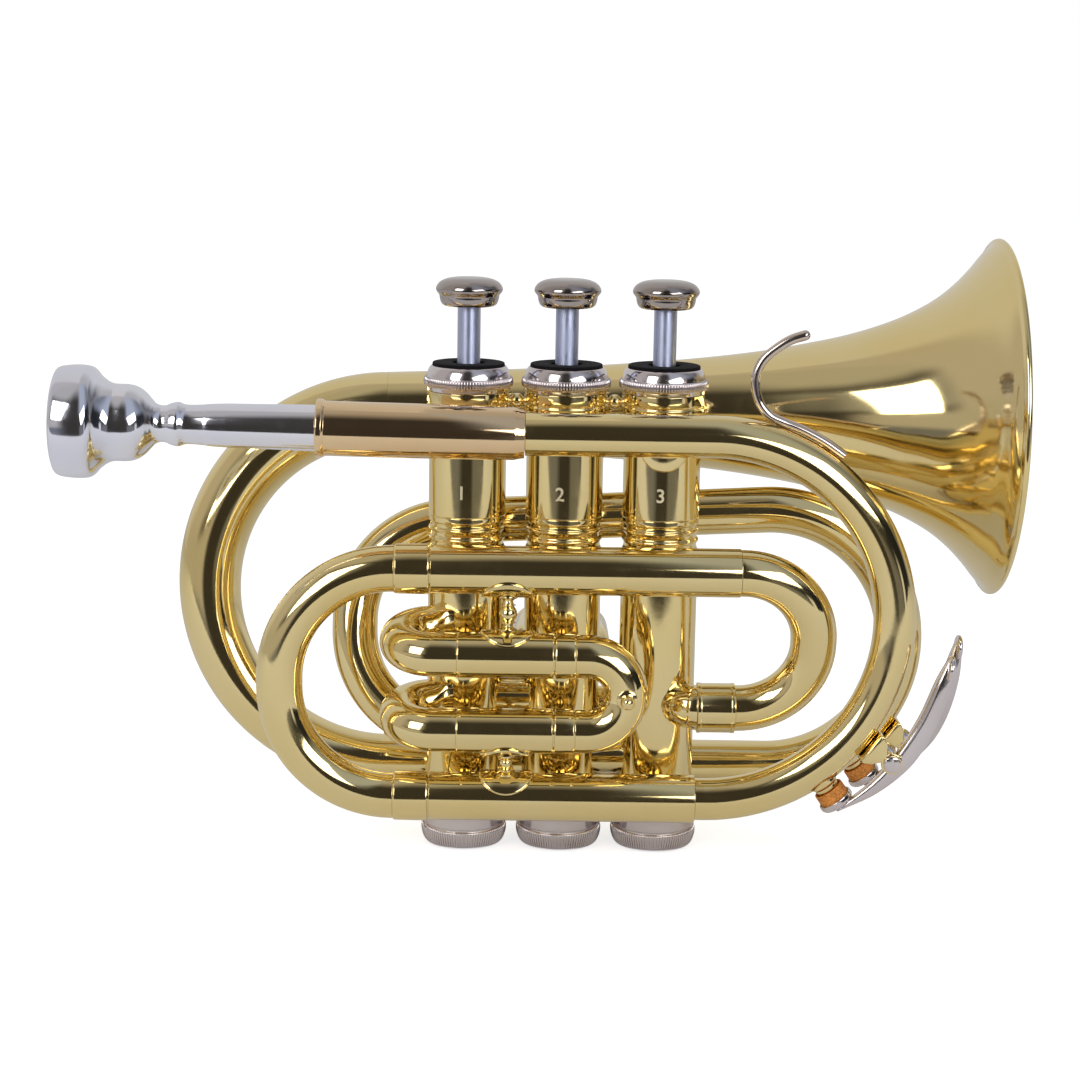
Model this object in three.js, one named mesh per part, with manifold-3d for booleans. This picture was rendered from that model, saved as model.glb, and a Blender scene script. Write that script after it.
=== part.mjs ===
// Pocket trumpet in millimetres, +Z up along the valves and +X toward the bell.
// The origin is the centre of the flat face under the middle valve.
// The mouthpiece, the two slide tubes and the first valve slide lie on the -Y side, the bell on the +Y side.
import * as THREE from "three";
import { mergeVertices } from "three/addons/utils/BufferGeometryUtils.js";
import Module from "manifold-3d";

const wasm = await Module();
wasm.setup();

// Fits that several pieces share.
const seatGap = 0.3;
const runningGap = 0.25;
const cutOverrun = 1.2;
const bendSlack = 0.06;
const tubeWall = 0.7;

// Valve block.
const valvePitch = 24.6;
const casingRadius = 9.75;
const casingBore = 8.5;
const casingTop = 118.4;
const casingBandRadius = 10.4;
const casingBandHeight = 4.6;
const portBore = 4.7;

// Bottom and top caps.
const bottomCapRadius = 10.9;
const bottomCapHeight = 9.6;
const bottomCapFlat = 5.6;
const bottomCapDome = 2.2;
const bottomCapFloor = 1.7;
const casingFoot = bottomCapFloor + seatGap;
const knurlHeight = 2.0;
const knurlStand = 0.25;
const topCapRadius = 11.2;
const topCapRise = 6.6;
const topCapSkirtRadius = 10.6;
const topCapSkirt = 1.3;
const topCapLip = 9.75;
const topCapRoof = 1.8;
const topCapSpigot = 3;
const topCapSpigotWall = 1;
const feltRadius = 9.1;
const feltThickness = 2.6;
const feltBore = 4.1;

// Pistons, stems, buttons, guides and springs.
const valveStroke = 13.9;
const pistonFoot = 20.5;
const pistonTop = casingTop - topCapSpigot - seatGap;
const pistonWall = 1.0;
const pistonVent = 3.0;
const guideSeat = 88;
const guideThickness = 2.4;
const guideWidth = 4.0;
const guideEar = 0.35;
const guideBore = 1.6;
const springRadius = 5.4;
const springWall = 1.1;
const stemRadius = 2.9;
const stemFlangeRadius = 5.2;
const stemFlange = 1.6;
const buttonRadius = 8.4;
const buttonSkirtRadius = 7.3;
const buttonSkirt = 2.4;
const buttonHeight = 7.2;
const buttonRest = 139.5;
const buttonSocket = 2.2;

// Mouthpiece, receiver and leadpipe.
const frontPlane = -19;
const leadpipeHeight = 110.1;
const leadpipeRadius = 5.3;
const receiverStart = -61.3;
const receiverEnd = -10.3;
const receiverRadius = 6.75;
const receiverTailRadius = 6.0;
const receiverRingRadius = 7.2;
const receiverRing = 1.9;
const mouthpieceLength = 87;
const mouthpieceInsert = 23.5;
const mouthpieceRadius = 13.5;
const mouthpieceRim = 8.6;
const mouthpieceCupMouth = 8.3;
const mouthpieceCupDepth = 11.5;
const mouthpieceThroat = 1.9;
const mouthpieceShank = 5.7;
const mouthpieceTip = 4.95;
const mouthpieceTipBore = 4.2;
const shankClearance = 0.3;
const receiverTilt = 0.8;

// Front circuit.
const lowerSlideHeight = 17.9;
const frontBowReach = 82.4;
const slideTubeRadius = 6.05;
const lowerSlideLeft = -33;
const lowerSlideInset = 2.7;
const upperSlideHeight = 76.1;
const upperSlideRight = 43.6;
const crookRadius = 5.8;
const crookReach = -70.6;
const crookSlack = 0.9;
const ferruleRadius = 6.3;
const ferruleLength = 8.8;
const tuningLegLength = 34;
const smallBowReach = 62.9;
const smallBowSlack = 0.6;
const inletHeight = 39.3;
const inletPlane = -10;
const inletFerruleStart = 34.4;
const inletFerruleEnd = 43.9;
const inletFerruleRadius = 6.4;
const knuckleRadius = 5.4;
const knuckleCorner = 33.2;

// First valve slide.
const firstPlane = -22.5;
const firstUpperShare = 0.6409;
const firstLowerShare = 0.311;
const firstTubeRadius = 5.65;
const firstCrookRadius = 5.4;
const firstPortPlane = -6.9;
const firstPortRise = 3.4;
const firstReturnReach = -40.4;
const firstTubeEnd = -2.3;
const firstFerrule = 5.3;
const firstLegLength = 21;
const firstCrookRun = 3;
const firstKnobRadius = 2.1;
const firstKnobStand = 2.4;

// Second and third valve slides on the far side.
const secondHeight = 51.5;
const secondSpread = 7.3;
const secondTubeRadius = 5.4;
const secondTubeEnd = 22.6;
const secondCrookRadius = 5.0;
const secondFerrule = 4;
const secondLegLength = 10.5;
const thirdPlane = 17.4;
const thirdUpperHeight = 68.2;
const thirdLowerHeight = 32.2;
const thirdTubeRadius = 5.3;
const thirdElbowRadius = 7;
const thirdTubeEnd = -7;
const thirdCrookRadius = 4.95;
const thirdFerrule = 4.5;
const thirdLegLength = 21;

// Crossing tubes between the casings and the conical branch to the bell.
const crossingRadius = 5.4;
const crossingOneTwoHeight = 39.3;
const crossingTwoThreeHeight = 24.4;
const outletHeight = 29.5;
const outletFerrule = 9;
const outletDrift = 4;
const outletDrop = 1.2;
const outletFerruleStand = 0.45;
const branchRadius = 5.9;
const branchRearRadius = 6.1;
const branchLowRadius = 6.4;
const rearPlane = 17.2;
const firstBowReach = -53.7;
const firstBowRadius = 26;
const branchLeftHeight = 80.3;
const branchRightHeight = 87.6;
const rearBowReach = 89.4;
const rearBowRadius = 34.5;
const branchSeam = -24;
const rearLowHeight = 16.7;
const bellBowReach = -92.9;
const bellPlane = 28;
const bellHeight = 109.6;
const bellBowStart = -30;
const bellThroatRadius = 9.6;
const bellWall = 0.8;
const bellRimRadius = 46.9;
const bellRimBead = 1.5;
const bellBeadWidth = 1.8;
const bellBeadRound = 0.375;
const bellEnd = 114.2;
const bellJoint = -46.4;

// Finger hook on the leadpipe bow.
const hookWire = 1.25;
const hookTip = 1.55;
const hookHeight = 21.1;
const hookTailAngle = 53;
const hookLeaveAngle = 72.5;
const hookSwellShare = 2.2;

// Turned braces.
const bracePostRadius = 1.35;
const braceBallRadius = 2.6;
const braceFlangeRadius = 6.8;
const braceFlangeThickness = 0.7;
const plateLift = 0.4;
const slideBraceX = -13.8;
const leadpipeBraceDrop = 10.05;
const leadpipePlateDrop = 11.9;
const casingBraceDrop = 2.6;
const casingBraceBall = 1.9;
const casingBracePost = 1.0;
const bellBraceX = 35;
const bellBraceDrop = 4.45;
const bellBraceBallShare = 0.174;
const braceBallShare = 0.33;

// Water keys: angles in degrees round the bow that carries each key, from +X toward +Z.
const keyNippleAngle = -54;
const keyHingeAngle = -37;
const frontKeyTip = -7;
const rearKeyTip = 2;
const keyTipInset = 3.4;
const keyNippleRadius = 3.1;
const keyNippleBore = 1.5;
const keyNippleRise = 2.2;
const keyCorkRadius = 3.7;
const keyCorkThickness = 3.2;
const keyCupRadius = 4.5;
const keyCupWall = 0.5;
const keyCupDepth = 2.6;
const keyHingeRise = 6.3;
const keyBarrelRadius = 1.7;
const keyBarrelLength = 4.2;
const keyBarrelOffset = 2.2;
const keyPinRadius = 0.9;
const keyScrewRadius = 2.1;
const keyScrewLength = 0.9;
const keyEarThickness = 1.2;
const keyEarRadius = 2.0;
const keyEarSpacing = 10.4;
const keySaddleLength = 5.2;
const keyLeverWidth = 4.2;
const keyTipStand = 9.6;
const keyTipRadius = 3.6;
const keyPlateThickness = 0.8;
const keySpringWire = 0.3;
const keySpringRadius = 1.7;
const keySpringCurls = 3;
const keySpringPitch = 1.1;
const keySpringTail = 3.4;

// Facet counts.
const casingSides = 14;
const tubeSides = 10;
const smallSides = 8;
const portSides = 6;
const bendSteps = 5;
const crookSteps = 4;
const hiddenSteps = 3;
const bellSides = 22;
const ballRings = 5;
const hiddenSides = 8;
const pistonSides = 10;
const curlSteps = 8;
const curlSides = 5;
const plateSides = 10;
const hookSteps = 20;
const hookSides = 6;

const X_AXIS = new THREE.Vector3(1, 0, 0);
const Y_AXIS = new THREE.Vector3(0, 1, 0);
const Z_AXIS = new THREE.Vector3(0, 0, 1);

function point(x, y, z) {
  return new THREE.Vector3(x, y, z);
}

function signedVolume(geometry) {
  const at = geometry.attributes.position;
  const index = geometry.index.array;
  const a = new THREE.Vector3();
  const b = new THREE.Vector3();
  const c = new THREE.Vector3();
  let total = 0;
  for (let i = 0; i < index.length; i += 3) {
    a.fromBufferAttribute(at, index[i]);
    b.fromBufferAttribute(at, index[i + 1]);
    c.fromBufferAttribute(at, index[i + 2]);
    total += a.dot(b.cross(c));
  }
  return total;
}

// Shares the vertices, drops the collapsed triangles and turns the faces outward.
function closedBody(raw) {
  const geometry = raw.index ? raw.toNonIndexed() : raw;
  geometry.deleteAttribute("normal");
  geometry.deleteAttribute("uv");
  const merged = mergeVertices(geometry);
  const index = merged.index.array;
  const kept = [];
  for (let i = 0; i < index.length; i += 3) {
    const [a, b, c] = [index[i], index[i + 1], index[i + 2]];
    if (a !== b && b !== c && a !== c) kept.push(a, b, c);
  }
  merged.setIndex(kept);
  if (signedVolume(merged) < 0) {
    for (let i = 0; i < kept.length; i += 3) [kept[i], kept[i + 1]] = [kept[i + 1], kept[i]];
    merged.setIndex(kept);
  }
  return merged;
}

function solidOf(geometry) {
  const body = closedBody(geometry);
  const vertProperties = new Float32Array(body.attributes.position.array);
  const triVerts = new Uint32Array(body.index.array);
  return new wasm.Manifold(new wasm.Mesh({ numProp: 3, vertProperties, triVerts }));
}

function geometryOf(solid) {
  const mesh = solid.getMesh();
  const geometry = new THREE.BufferGeometry();
  geometry.setAttribute("position", new THREE.BufferAttribute(new Float32Array(mesh.vertProperties), 3));
  geometry.setIndex(Array.from(mesh.triVerts));
  return geometry;
}

function joined(first, ...others) {
  return others.reduce((whole, next) => whole.add(next), first);
}

function cutBy(first, ...others) {
  return others.reduce((whole, next) => whole.subtract(next), first);
}

// A turned body from [radius, height] pairs; its axis runs from `base` along `axis`.
function turned(profile, base, axis, sides = casingSides) {
  const points = profile.map(([radius, height]) => new THREE.Vector2(radius, height));
  const geometry = new THREE.LatheGeometry(points, sides);
  geometry.applyQuaternion(new THREE.Quaternion().setFromUnitVectors(Y_AXIS, axis));
  geometry.translate(base.x, base.y, base.z);
  return solidOf(geometry);
}

function rod(radius, from, to, sides = tubeSides) {
  const along = to.clone().sub(from);
  const length = along.length();
  const profile = [[0, 0], [radius, 0], [radius, length], [0, length]];
  return turned(profile, from, along.normalize(), sides);
}

function ball(radius, centre, sides = smallSides) {
  const geometry = new THREE.SphereGeometry(radius, sides, ballRings);
  geometry.translate(centre.x, centre.y, centre.z);
  return solidOf(geometry);
}

function block(from, to) {
  const size = to.clone().sub(from);
  const geometry = new THREE.BoxGeometry(size.x, size.y, size.z);
  const middle = from.clone().add(to).multiplyScalar(0.5);
  geometry.translate(middle.x, middle.y, middle.z);
  return solidOf(geometry);
}

// Stations along straight runs whose corners are rounded to the given bend radii.
function routeStations(corners, bendRadii, steps = bendSteps) {
  const stations = [];
  const ahead = (i) => corners[i + 1].clone().sub(corners[i]).normalize();
  stations.push({ at: corners[0].clone(), along: ahead(0) });
  for (let i = 1; i < corners.length - 1; i += 1) {
    const before = ahead(i - 1);
    const after = ahead(i);
    const turn = before.angleTo(after);
    const radius = bendRadii[i - 1];
    const start = corners[i].clone().addScaledVector(before, -radius * Math.tan(turn / 2));
    const inward = after.clone().addScaledVector(before, -after.dot(before)).normalize();
    const centre = start.clone().addScaledVector(inward, radius);
    const hinge = before.clone().cross(after).normalize();
    const count = Math.max(2, Math.round((steps * turn) / (Math.PI / 2)));
    for (let k = 0; k <= count; k += 1) {
      const angle = (turn * k) / count;
      const spoke = start.clone().sub(centre).applyAxisAngle(hinge, angle);
      stations.push({ at: centre.clone().add(spoke), along: before.clone().applyAxisAngle(hinge, angle) });
    }
  }
  const last = corners.length - 1;
  stations.push({ at: corners[last].clone(), along: ahead(last - 1) });
  return withTravel(stations);
}

// Drops stations that fall on the one before, and gives each its distance along the route.
function withTravel(stations) {
  const kept = [];
  let travel = 0;
  for (const station of stations) {
    const previous = kept[kept.length - 1];
    const step = previous ? previous.at.distanceTo(station.at) : 1;
    if (previous && step < seatGap) continue;
    travel += previous ? step : 0;
    kept.push({ ...station, travel });
  }
  return kept;
}

// A body swept along stations; outer and bore give the radii at a station, and a bore of null makes it solid.
function swept(stations, outer, bore = null, sides = tubeSides) {
  const rings = [];
  const side = new THREE.Vector3();
  const turn = new THREE.Quaternion();
  const first = stations[0].along;
  side.crossVectors(first, Math.abs(first.z) < Math.SQRT1_2 ? Z_AXIS : X_AXIS).normalize();
  stations.forEach((station, i) => {
    if (i > 0) side.applyQuaternion(turn.setFromUnitVectors(stations[i - 1].along, station.along));
    const other = new THREE.Vector3().crossVectors(station.along, side);
    const ring = (radius) => {
      const points = [];
      for (let k = 0; k < sides; k += 1) {
        const angle = (2 * Math.PI * k) / sides;
        const spot = station.at.clone().addScaledVector(side, radius * Math.cos(angle));
        points.push(spot.addScaledVector(other, radius * Math.sin(angle)));
      }
      return points;
    };
    rings.push({ outer: ring(outer(station)), bore: bore ? ring(bore(station)) : [station.at] });
  });
  const triangles = [];
  const quad = (a, b, c, d) => triangles.push(a, b, c, a, c, d);
  const wall = (low, high, name, flip) => {
    for (let k = 0; k < sides; k += 1) {
      const n = (k + 1) % sides;
      if (flip) quad(low[name][n], low[name][k], high[name][k], high[name][n]);
      else quad(low[name][k], low[name][n], high[name][n], high[name][k]);
    }
  };
  const lid = (ring, flip) => {
    for (let k = 0; k < sides; k += 1) {
      const n = (k + 1) % sides;
      const [a, b] = flip ? [ring.outer[k], ring.outer[n]] : [ring.outer[n], ring.outer[k]];
      if (!bore) triangles.push(a, b, ring.bore[0]);
      else if (flip) quad(a, b, ring.bore[n], ring.bore[k]);
      else quad(a, b, ring.bore[k], ring.bore[n]);
    }
  };
  for (let i = 1; i < rings.length; i += 1) {
    wall(rings[i - 1], rings[i], "outer", false);
    if (bore) wall(rings[i - 1], rings[i], "bore", true);
  }
  lid(rings[0], false);
  lid(rings[rings.length - 1], true);
  return solidOf(new THREE.BufferGeometry().setFromPoints(triangles));
}

function pipe(stations, radius, wall = tubeWall, sides = tubeSides) {
  return swept(stations, () => radius, () => radius - wall, sides);
}

function straightPipe(from, to, radius, wall = tubeWall, sides = tubeSides) {
  return pipe(routeStations([from, to], []), radius, wall, sides);
}

const casingX = (number) => (number - 2) * valvePitch;
const casingBraceHeight = casingTop - casingBraceDrop;
const frontBowRadius = (leadpipeHeight - lowerSlideHeight) / 2;
const lowerSlideRight = frontBowReach - frontBowRadius - lowerSlideInset;
const slideSpread = upperSlideHeight - lowerSlideHeight;
const crookBend = slideSpread / 2 - crookSlack;
const firstUpperHeight = lowerSlideHeight + firstUpperShare * slideSpread;
const firstLowerHeight = lowerSlideHeight + firstLowerShare * slideSpread;

// A solid round bar standing on a casing's axis, as tall as the casing and a little more.
function casingCore(number, radius) {
  const x = casingX(number);
  return rod(radius, point(x, 0, casingFoot - cutOverrun), point(x, 0, casingTop + cutOverrun), casingSides);
}

// What a tube loses so that it ends on the outside of a casing.
function casingSaddle(number) {
  return casingCore(number, casingRadius + seatGap);
}

// The airway that a port opens in a casing's wall, from the valve's axis out toward a place on the tube.
function portHole(number, toward) {
  const centre = point(casingX(number), 0, toward.z);
  const outward = toward.clone().sub(centre).setLength(casingRadius + cutOverrun);
  return rod(portBore, centre, centre.clone().add(outward), portSides);
}

const firstPorts = [firstUpperHeight, firstLowerHeight].map((height) =>
  point(casingX(1) - casingRadius, firstPortPlane, height + firstPortRise),
);
const secondPorts = [-1, 1].map((hand) =>
  point(casingX(2) + hand * secondSpread, casingRadius, secondHeight),
);
const thirdPorts = [thirdUpperHeight, thirdLowerHeight].map((height) =>
  point(casingX(3), casingRadius, height),
);
const inletPort = point(knuckleCorner, inletPlane, inletHeight);
const outletPort = point(casingX(1) - casingRadius, 0, outletHeight);
const crossings = [
  { left: 1, right: 2, height: crossingOneTwoHeight },
  { left: 2, right: 3, height: crossingTwoThreeHeight },
].map((crossing) => ({
  ...crossing,
  middle: point((casingX(crossing.left) + casingX(crossing.right)) / 2, 0, crossing.height),
}));
const casingPorts = {
  1: [outletPort, crossings[0].middle, ...firstPorts],
  2: [crossings[0].middle, crossings[1].middle, ...secondPorts],
  3: [crossings[1].middle, inletPort, ...thirdPorts],
};

// The plain casing: a tube with a band at its top, notched inside for the valve guide.
function casingShell(number) {
  const profile = [
    [casingBore, casingFoot],
    [casingRadius, casingFoot],
    [casingRadius, casingTop - casingBandHeight],
    [casingBandRadius, casingTop - casingBandHeight],
    [casingBandRadius, casingTop],
    [casingBore, casingTop],
    [casingBore, casingFoot],
  ];
  const centre = point(casingX(number), 0, 0);
  const reach = casingBore + guideEar + seatGap;
  const notch = block(
    point(centre.x - guideWidth / 2 - seatGap, -reach, guideSeat - seatGap),
    point(centre.x + guideWidth / 2 + seatGap, reach, guideSeat + guideThickness + seatGap),
  );
  return cutBy(turned(profile, centre, Z_AXIS), notch);
}

function crossingTube({ left, right, height }) {
  const from = point(casingX(left), 0, height);
  const to = point(casingX(right), 0, height);
  const other = left === 2 ? right : left;
  return cutBy(rod(crossingRadius, from, to, smallSides), casingSaddle(other));
}

function casingBrace(other) {
  const from = point(casingX(2), 0, casingBraceHeight);
  const to = point(casingX(other), 0, casingBraceHeight);
  const middle = from.clone().add(to).multiplyScalar(0.5);
  const post = joined(rod(casingBracePost, from, to, smallSides), ball(casingBraceBall, middle));
  return cutBy(post, casingCore(other, casingBandRadius + seatGap));
}

function secondSlideTube(port) {
  return rod(secondTubeRadius, point(port.x, 0, port.z), point(port.x, secondTubeEnd, port.z));
}

function secondSlideBore(port) {
  const from = point(port.x, 0, port.z);
  return rod(secondTubeRadius - tubeWall, from, point(port.x, secondTubeEnd + cutOverrun, port.z));
}

// The middle casing carries what is brazed to it: crossing tubes, ball braces and the second slide's tubes.
function valveCasing(number) {
  const holes = casingPorts[number].map((port) => portHole(number, port));
  if (number !== 2) return cutBy(casingShell(number), ...holes);
  const brazed = [
    ...crossings.map(crossingTube),
    ...[1, 3].map(casingBrace),
    ...secondPorts.map(secondSlideTube),
  ];
  const airways = crossings.map(({ left, right, height }) =>
    rod(portBore, point(casingX(left), 0, height), point(casingX(right), 0, height), portSides),
  );
  const outside = cutBy(joined(brazed[0], ...brazed.slice(1)), casingCore(2, casingBore));
  return cutBy(joined(casingShell(2), outside), ...airways, ...secondPorts.map(secondSlideBore));
}

function bottomCap(number) {
  const inner = casingRadius + seatGap;
  const band = bottomCapRadius - knurlStand;
  const profile = [
    [0, 0],
    [bottomCapFlat, 0],
    [bottomCapRadius - bottomCapDome / 2, bottomCapDome / 2],
    [bottomCapRadius, bottomCapDome + knurlStand],
    [bottomCapRadius, bottomCapDome + knurlHeight],
    [band, bottomCapDome + knurlHeight + knurlStand],
    [band, bottomCapHeight],
    [inner, bottomCapHeight],
    [inner, bottomCapFloor],
    [0, bottomCapFloor],
  ];
  return turned(profile, point(casingX(number), 0, 0), Z_AXIS);
}

const topCapSeat = casingTop + topCapRise - feltThickness + knurlStand;

function topCap(number) {
  const spigot = casingBore - seatGap;
  const hole = stemRadius + seatGap;
  const recess = feltRadius + knurlStand;
  const knurl = casingTop + topCapSkirt;
  const profile = [
    [topCapSkirtRadius, casingTop],
    [topCapRadius, knurl],
    [topCapRadius, knurl + knurlHeight],
    [topCapLip, casingTop + topCapRise],
    [recess, casingTop + topCapRise],
    [recess, topCapSeat],
    [hole, topCapSeat],
    [hole, topCapSeat - topCapRoof],
    [spigot - topCapSpigotWall, topCapSeat - topCapRoof],
    [spigot - topCapSpigotWall, casingTop - topCapSpigot],
    [spigot, casingTop - topCapSpigot],
    [spigot, casingTop],
    [topCapSkirtRadius, casingTop],
  ];
  return turned(profile, point(casingX(number), 0, 0), Z_AXIS);
}

function topCapFelt(number) {
  const top = topCapSeat + feltThickness;
  const profile = [[feltBore, topCapSeat], [feltRadius, topCapSeat], [feltRadius, top], [feltBore, top]];
  return turned([...profile, profile[0]], point(casingX(number), 0, 0), Z_AXIS);
}

const pistonRadius = casingBore - runningGap;

// The heights at which a piston carries its three airways, as pairs of places that each airway joins.
function pistonPassages(number) {
  const [first, second, slideOne, slideTwo] = casingPorts[number];
  const raised = (place) => place.clone().add(point(0, 0, valveStroke));
  return [
    [first, second],
    [raised(number === 1 ? second : first), raised(slideOne)],
    [raised(slideTwo), raised(number === 1 ? first : second)],
  ];
}

function passageBar(number, [from, to], radius) {
  const axis = point(casingX(number), 0, 0);
  const rim = (place) => {
    const outward = place.clone().sub(axis).setZ(0).setLength(pistonRadius);
    return axis.clone().add(outward).setZ(place.z);
  };
  const [start, end] = [rim(from), rim(to)];
  const along = end.clone().sub(start).setLength(cutOverrun + portBore / 2);
  return rod(radius, start.sub(along), end.add(along), portSides);
}

function piston(number) {
  const centre = point(casingX(number), 0, 0);
  const bore = pistonRadius - pistonWall;
  const profile = [
    [0, pistonTop],
    [pistonRadius, pistonTop],
    [pistonRadius, pistonFoot],
    [pistonVent, pistonFoot],
    [pistonVent, pistonFoot + pistonWall],
    [bore, pistonFoot + pistonWall],
    [bore, pistonTop - pistonWall],
    [0, pistonTop - pistonWall],
  ];
  const passages = pistonPassages(number);
  const within = rod(
    pistonRadius,
    centre.clone().setZ(pistonFoot),
    centre.clone().setZ(pistonTop),
    pistonSides,
  );
  const tubes = passages.map((passage) => passageBar(number, passage, portBore + tubeWall).intersect(within));
  const bores = passages.map((passage) => passageBar(number, passage, portBore - tubeWall));
  const slotHalf = guideWidth / 2 + seatGap;
  const reach = pistonRadius + cutOverrun;
  const slot = block(
    point(centre.x - slotHalf, -reach, guideSeat - seatGap),
    point(centre.x + slotHalf, reach, guideSeat + guideThickness + valveStroke + seatGap),
  );
  return cutBy(joined(turned(profile, centre, Z_AXIS, pistonSides), ...tubes), ...bores, slot);
}

function valveGuide(number) {
  const base = point(casingX(number), 0, guideSeat);
  const top = base.clone().setZ(guideSeat + guideThickness);
  const reach = casingBore + guideEar;
  const ears = block(
    point(base.x - guideWidth / 2, -reach, base.z),
    point(base.x + guideWidth / 2, reach, top.z),
  );
  const disc = rod(pistonRadius - pistonWall - seatGap, base, top, pistonSides);
  const above = top.clone().setZ(top.z + cutOverrun);
  const hole = rod(guideBore, base.clone().setZ(base.z - cutOverrun), above, smallSides);
  return cutBy(joined(disc, ears), hole);
}

function valveSpring(number) {
  const low = guideSeat + guideThickness + seatGap;
  const high = pistonTop - pistonWall - seatGap;
  const inner = springRadius - springWall;
  const profile = [[inner, low], [springRadius, low], [springRadius, high], [inner, high], [inner, low]];
  return turned(profile, point(casingX(number), 0, 0), Z_AXIS, smallSides);
}

function valveStem(number) {
  const top = buttonRest + buttonSocket - seatGap;
  const profile = [
    [0, pistonTop],
    [stemFlangeRadius, pistonTop],
    [stemFlangeRadius, pistonTop + stemFlange],
    [stemRadius, pistonTop + stemFlange],
    [stemRadius, top],
    [0, top],
  ];
  return turned(profile, point(casingX(number), 0, 0), Z_AXIS, tubeSides);
}

function fingerButton(number) {
  const top = buttonRest + buttonHeight;
  const socket = stemRadius + seatGap;
  const edge = (top + buttonRest + buttonSkirt) / 2;
  const profile = [
    [0, top],
    [buttonSkirtRadius, top - buttonSkirt / 2],
    [buttonRadius, edge + buttonSkirt / 2],
    [buttonRadius, edge - buttonSkirt / 2],
    [buttonSkirtRadius, buttonRest + buttonSkirt / 2],
    [buttonSkirtRadius - buttonSkirt / 2, buttonRest],
    [socket, buttonRest],
    [socket, buttonRest + buttonSocket],
    [0, buttonRest + buttonSocket],
  ];
  return turned(profile, point(casingX(number), 0, 0), Z_AXIS);
}

// Shares of the mouthpiece's length and of its outer radius, from the rim to where the shank begins.
const mouthpieceOutlineShares = [
  [0, 0.9], [0.018, 1], [0.102, 1], [0.131, 0.71], [0.18, 0.69], [0.217, 0.58], [0.239, 0.452],
  [0.262, 0.341], [0.307, 0.337], [0.344, 0.404], [0.364, 0.363], [0.416, 0.37], [0.486, 0.4],
];
// Shares of the cup's depth and of its mouth.
const cupShares = [[0.05, 1], [0.25, 0.97], [0.55, 0.84], [0.8, 0.58], [0.93, 0.36]];

// The receiver and the mouthpiece rise a little toward the player, on one axis through the receiver's end.
const receiverAxis = X_AXIS.clone().applyAxisAngle(Y_AXIS, THREE.MathUtils.degToRad(receiverTilt));

function alongReceiver(x) {
  const end = point(receiverEnd, frontPlane, leadpipeHeight);
  return end.addScaledVector(receiverAxis, x - receiverEnd);
}

function mouthpiece() {
  const front = receiverStart + mouthpieceInsert - mouthpieceLength;
  const outline = mouthpieceOutlineShares.map(([along, across]) => [
    across * mouthpieceRadius,
    along * mouthpieceLength,
  ]);
  const shankStart = mouthpieceLength - mouthpieceInsert;
  outline.push([mouthpieceShank, shankStart], [mouthpieceTip, mouthpieceLength]);
  outline.push([mouthpieceTipBore, mouthpieceLength]);
  outline.push([mouthpieceThroat, mouthpieceCupDepth + mouthpieceRim]);
  outline.push([mouthpieceThroat, mouthpieceCupDepth]);
  const bowl = cupShares.map(([down, across]) => [across * mouthpieceCupMouth, down * mouthpieceCupDepth]);
  outline.push(...bowl.reverse());
  outline.push([mouthpieceCupMouth + seatGap, 0], outline[0]);
  return turned(outline, alongReceiver(front), receiverAxis);
}

function mouthpieceReceiver() {
  const length = receiverEnd - receiverStart;
  const seat = mouthpieceInsert + seatGap;
  const profile = [
    [mouthpieceShank + shankClearance, 0],
    [receiverRingRadius, 0],
    [receiverRingRadius, receiverRing],
    [receiverRadius, receiverRing],
    [receiverTailRadius, length],
    [leadpipeRadius - tubeWall, length],
    [leadpipeRadius - tubeWall, seat],
    [mouthpieceTip + shankClearance, seat],
    [mouthpieceShank + shankClearance, 0],
  ];
  return turned(profile, alongReceiver(receiverStart), receiverAxis);
}

// A bow lying in the XZ plane: its centre, bend and tube radii, and the angle where its water key ends.
const frontBow = {
  centre: point(frontBowReach - frontBowRadius, frontPlane, leadpipeHeight - frontBowRadius),
  bend: frontBowRadius,
  tube: leadpipeRadius,
  keyTip: frontKeyTip,
};
const rearBow = {
  centre: point(rearBowReach - rearBowRadius, rearPlane, rearLowHeight + rearBowRadius),
  bend: rearBowRadius,
  tube: branchRearRadius,
  keyTip: rearKeyTip,
};

// A place at an angle round a bow, at a height over the outside of its tube.
function overBow(bow, degrees, height, aside = 0) {
  const angle = THREE.MathUtils.degToRad(degrees);
  const reach = bow.bend + bow.tube + height;
  return bow.centre.clone().add(point(reach * Math.cos(angle), aside, reach * Math.sin(angle)));
}

function nippleBar(bow, radius, rise) {
  return rod(radius, overBow(bow, keyNippleAngle, -bow.tube), overBow(bow, keyNippleAngle, rise), smallSides);
}

// A tube with a water-key nipple on its outside, opened into the tube's bore.
function nippledTube(stations, outer, bow) {
  const bore = (station) => outer(station) - tubeWall;
  const outside = joined(swept(stations, outer), nippleBar(bow, keyNippleRadius, keyNippleRise));
  const first = stations[0];
  const last = stations[stations.length - 1];
  const through = [
    { ...first, at: first.at.clone().addScaledVector(first.along, -cutOverrun) },
    ...stations.slice(1, -1),
    { ...last, at: last.at.clone().addScaledVector(last.along, cutOverrun) },
  ];
  return cutBy(outside, swept(through, bore), nippleBar(bow, keyNippleBore, keyNippleRise + cutOverrun));
}

function leadpipeStations() {
  return routeStations(
    [
      point(receiverEnd + seatGap, frontPlane, leadpipeHeight),
      point(frontBowReach, frontPlane, leadpipeHeight),
      point(frontBowReach, frontPlane, lowerSlideHeight),
      point(lowerSlideRight + seatGap, frontPlane, lowerSlideHeight),
    ],
    [frontBowRadius, frontBowRadius],
  );
}

function leadpipe() {
  return nippledTube(leadpipeStations(), () => leadpipeRadius, frontBow);
}

function slideTube(height, right) {
  const from = point(lowerSlideLeft, frontPlane, height);
  return straightPipe(from, point(right, frontPlane, height), slideTubeRadius);
}

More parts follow.
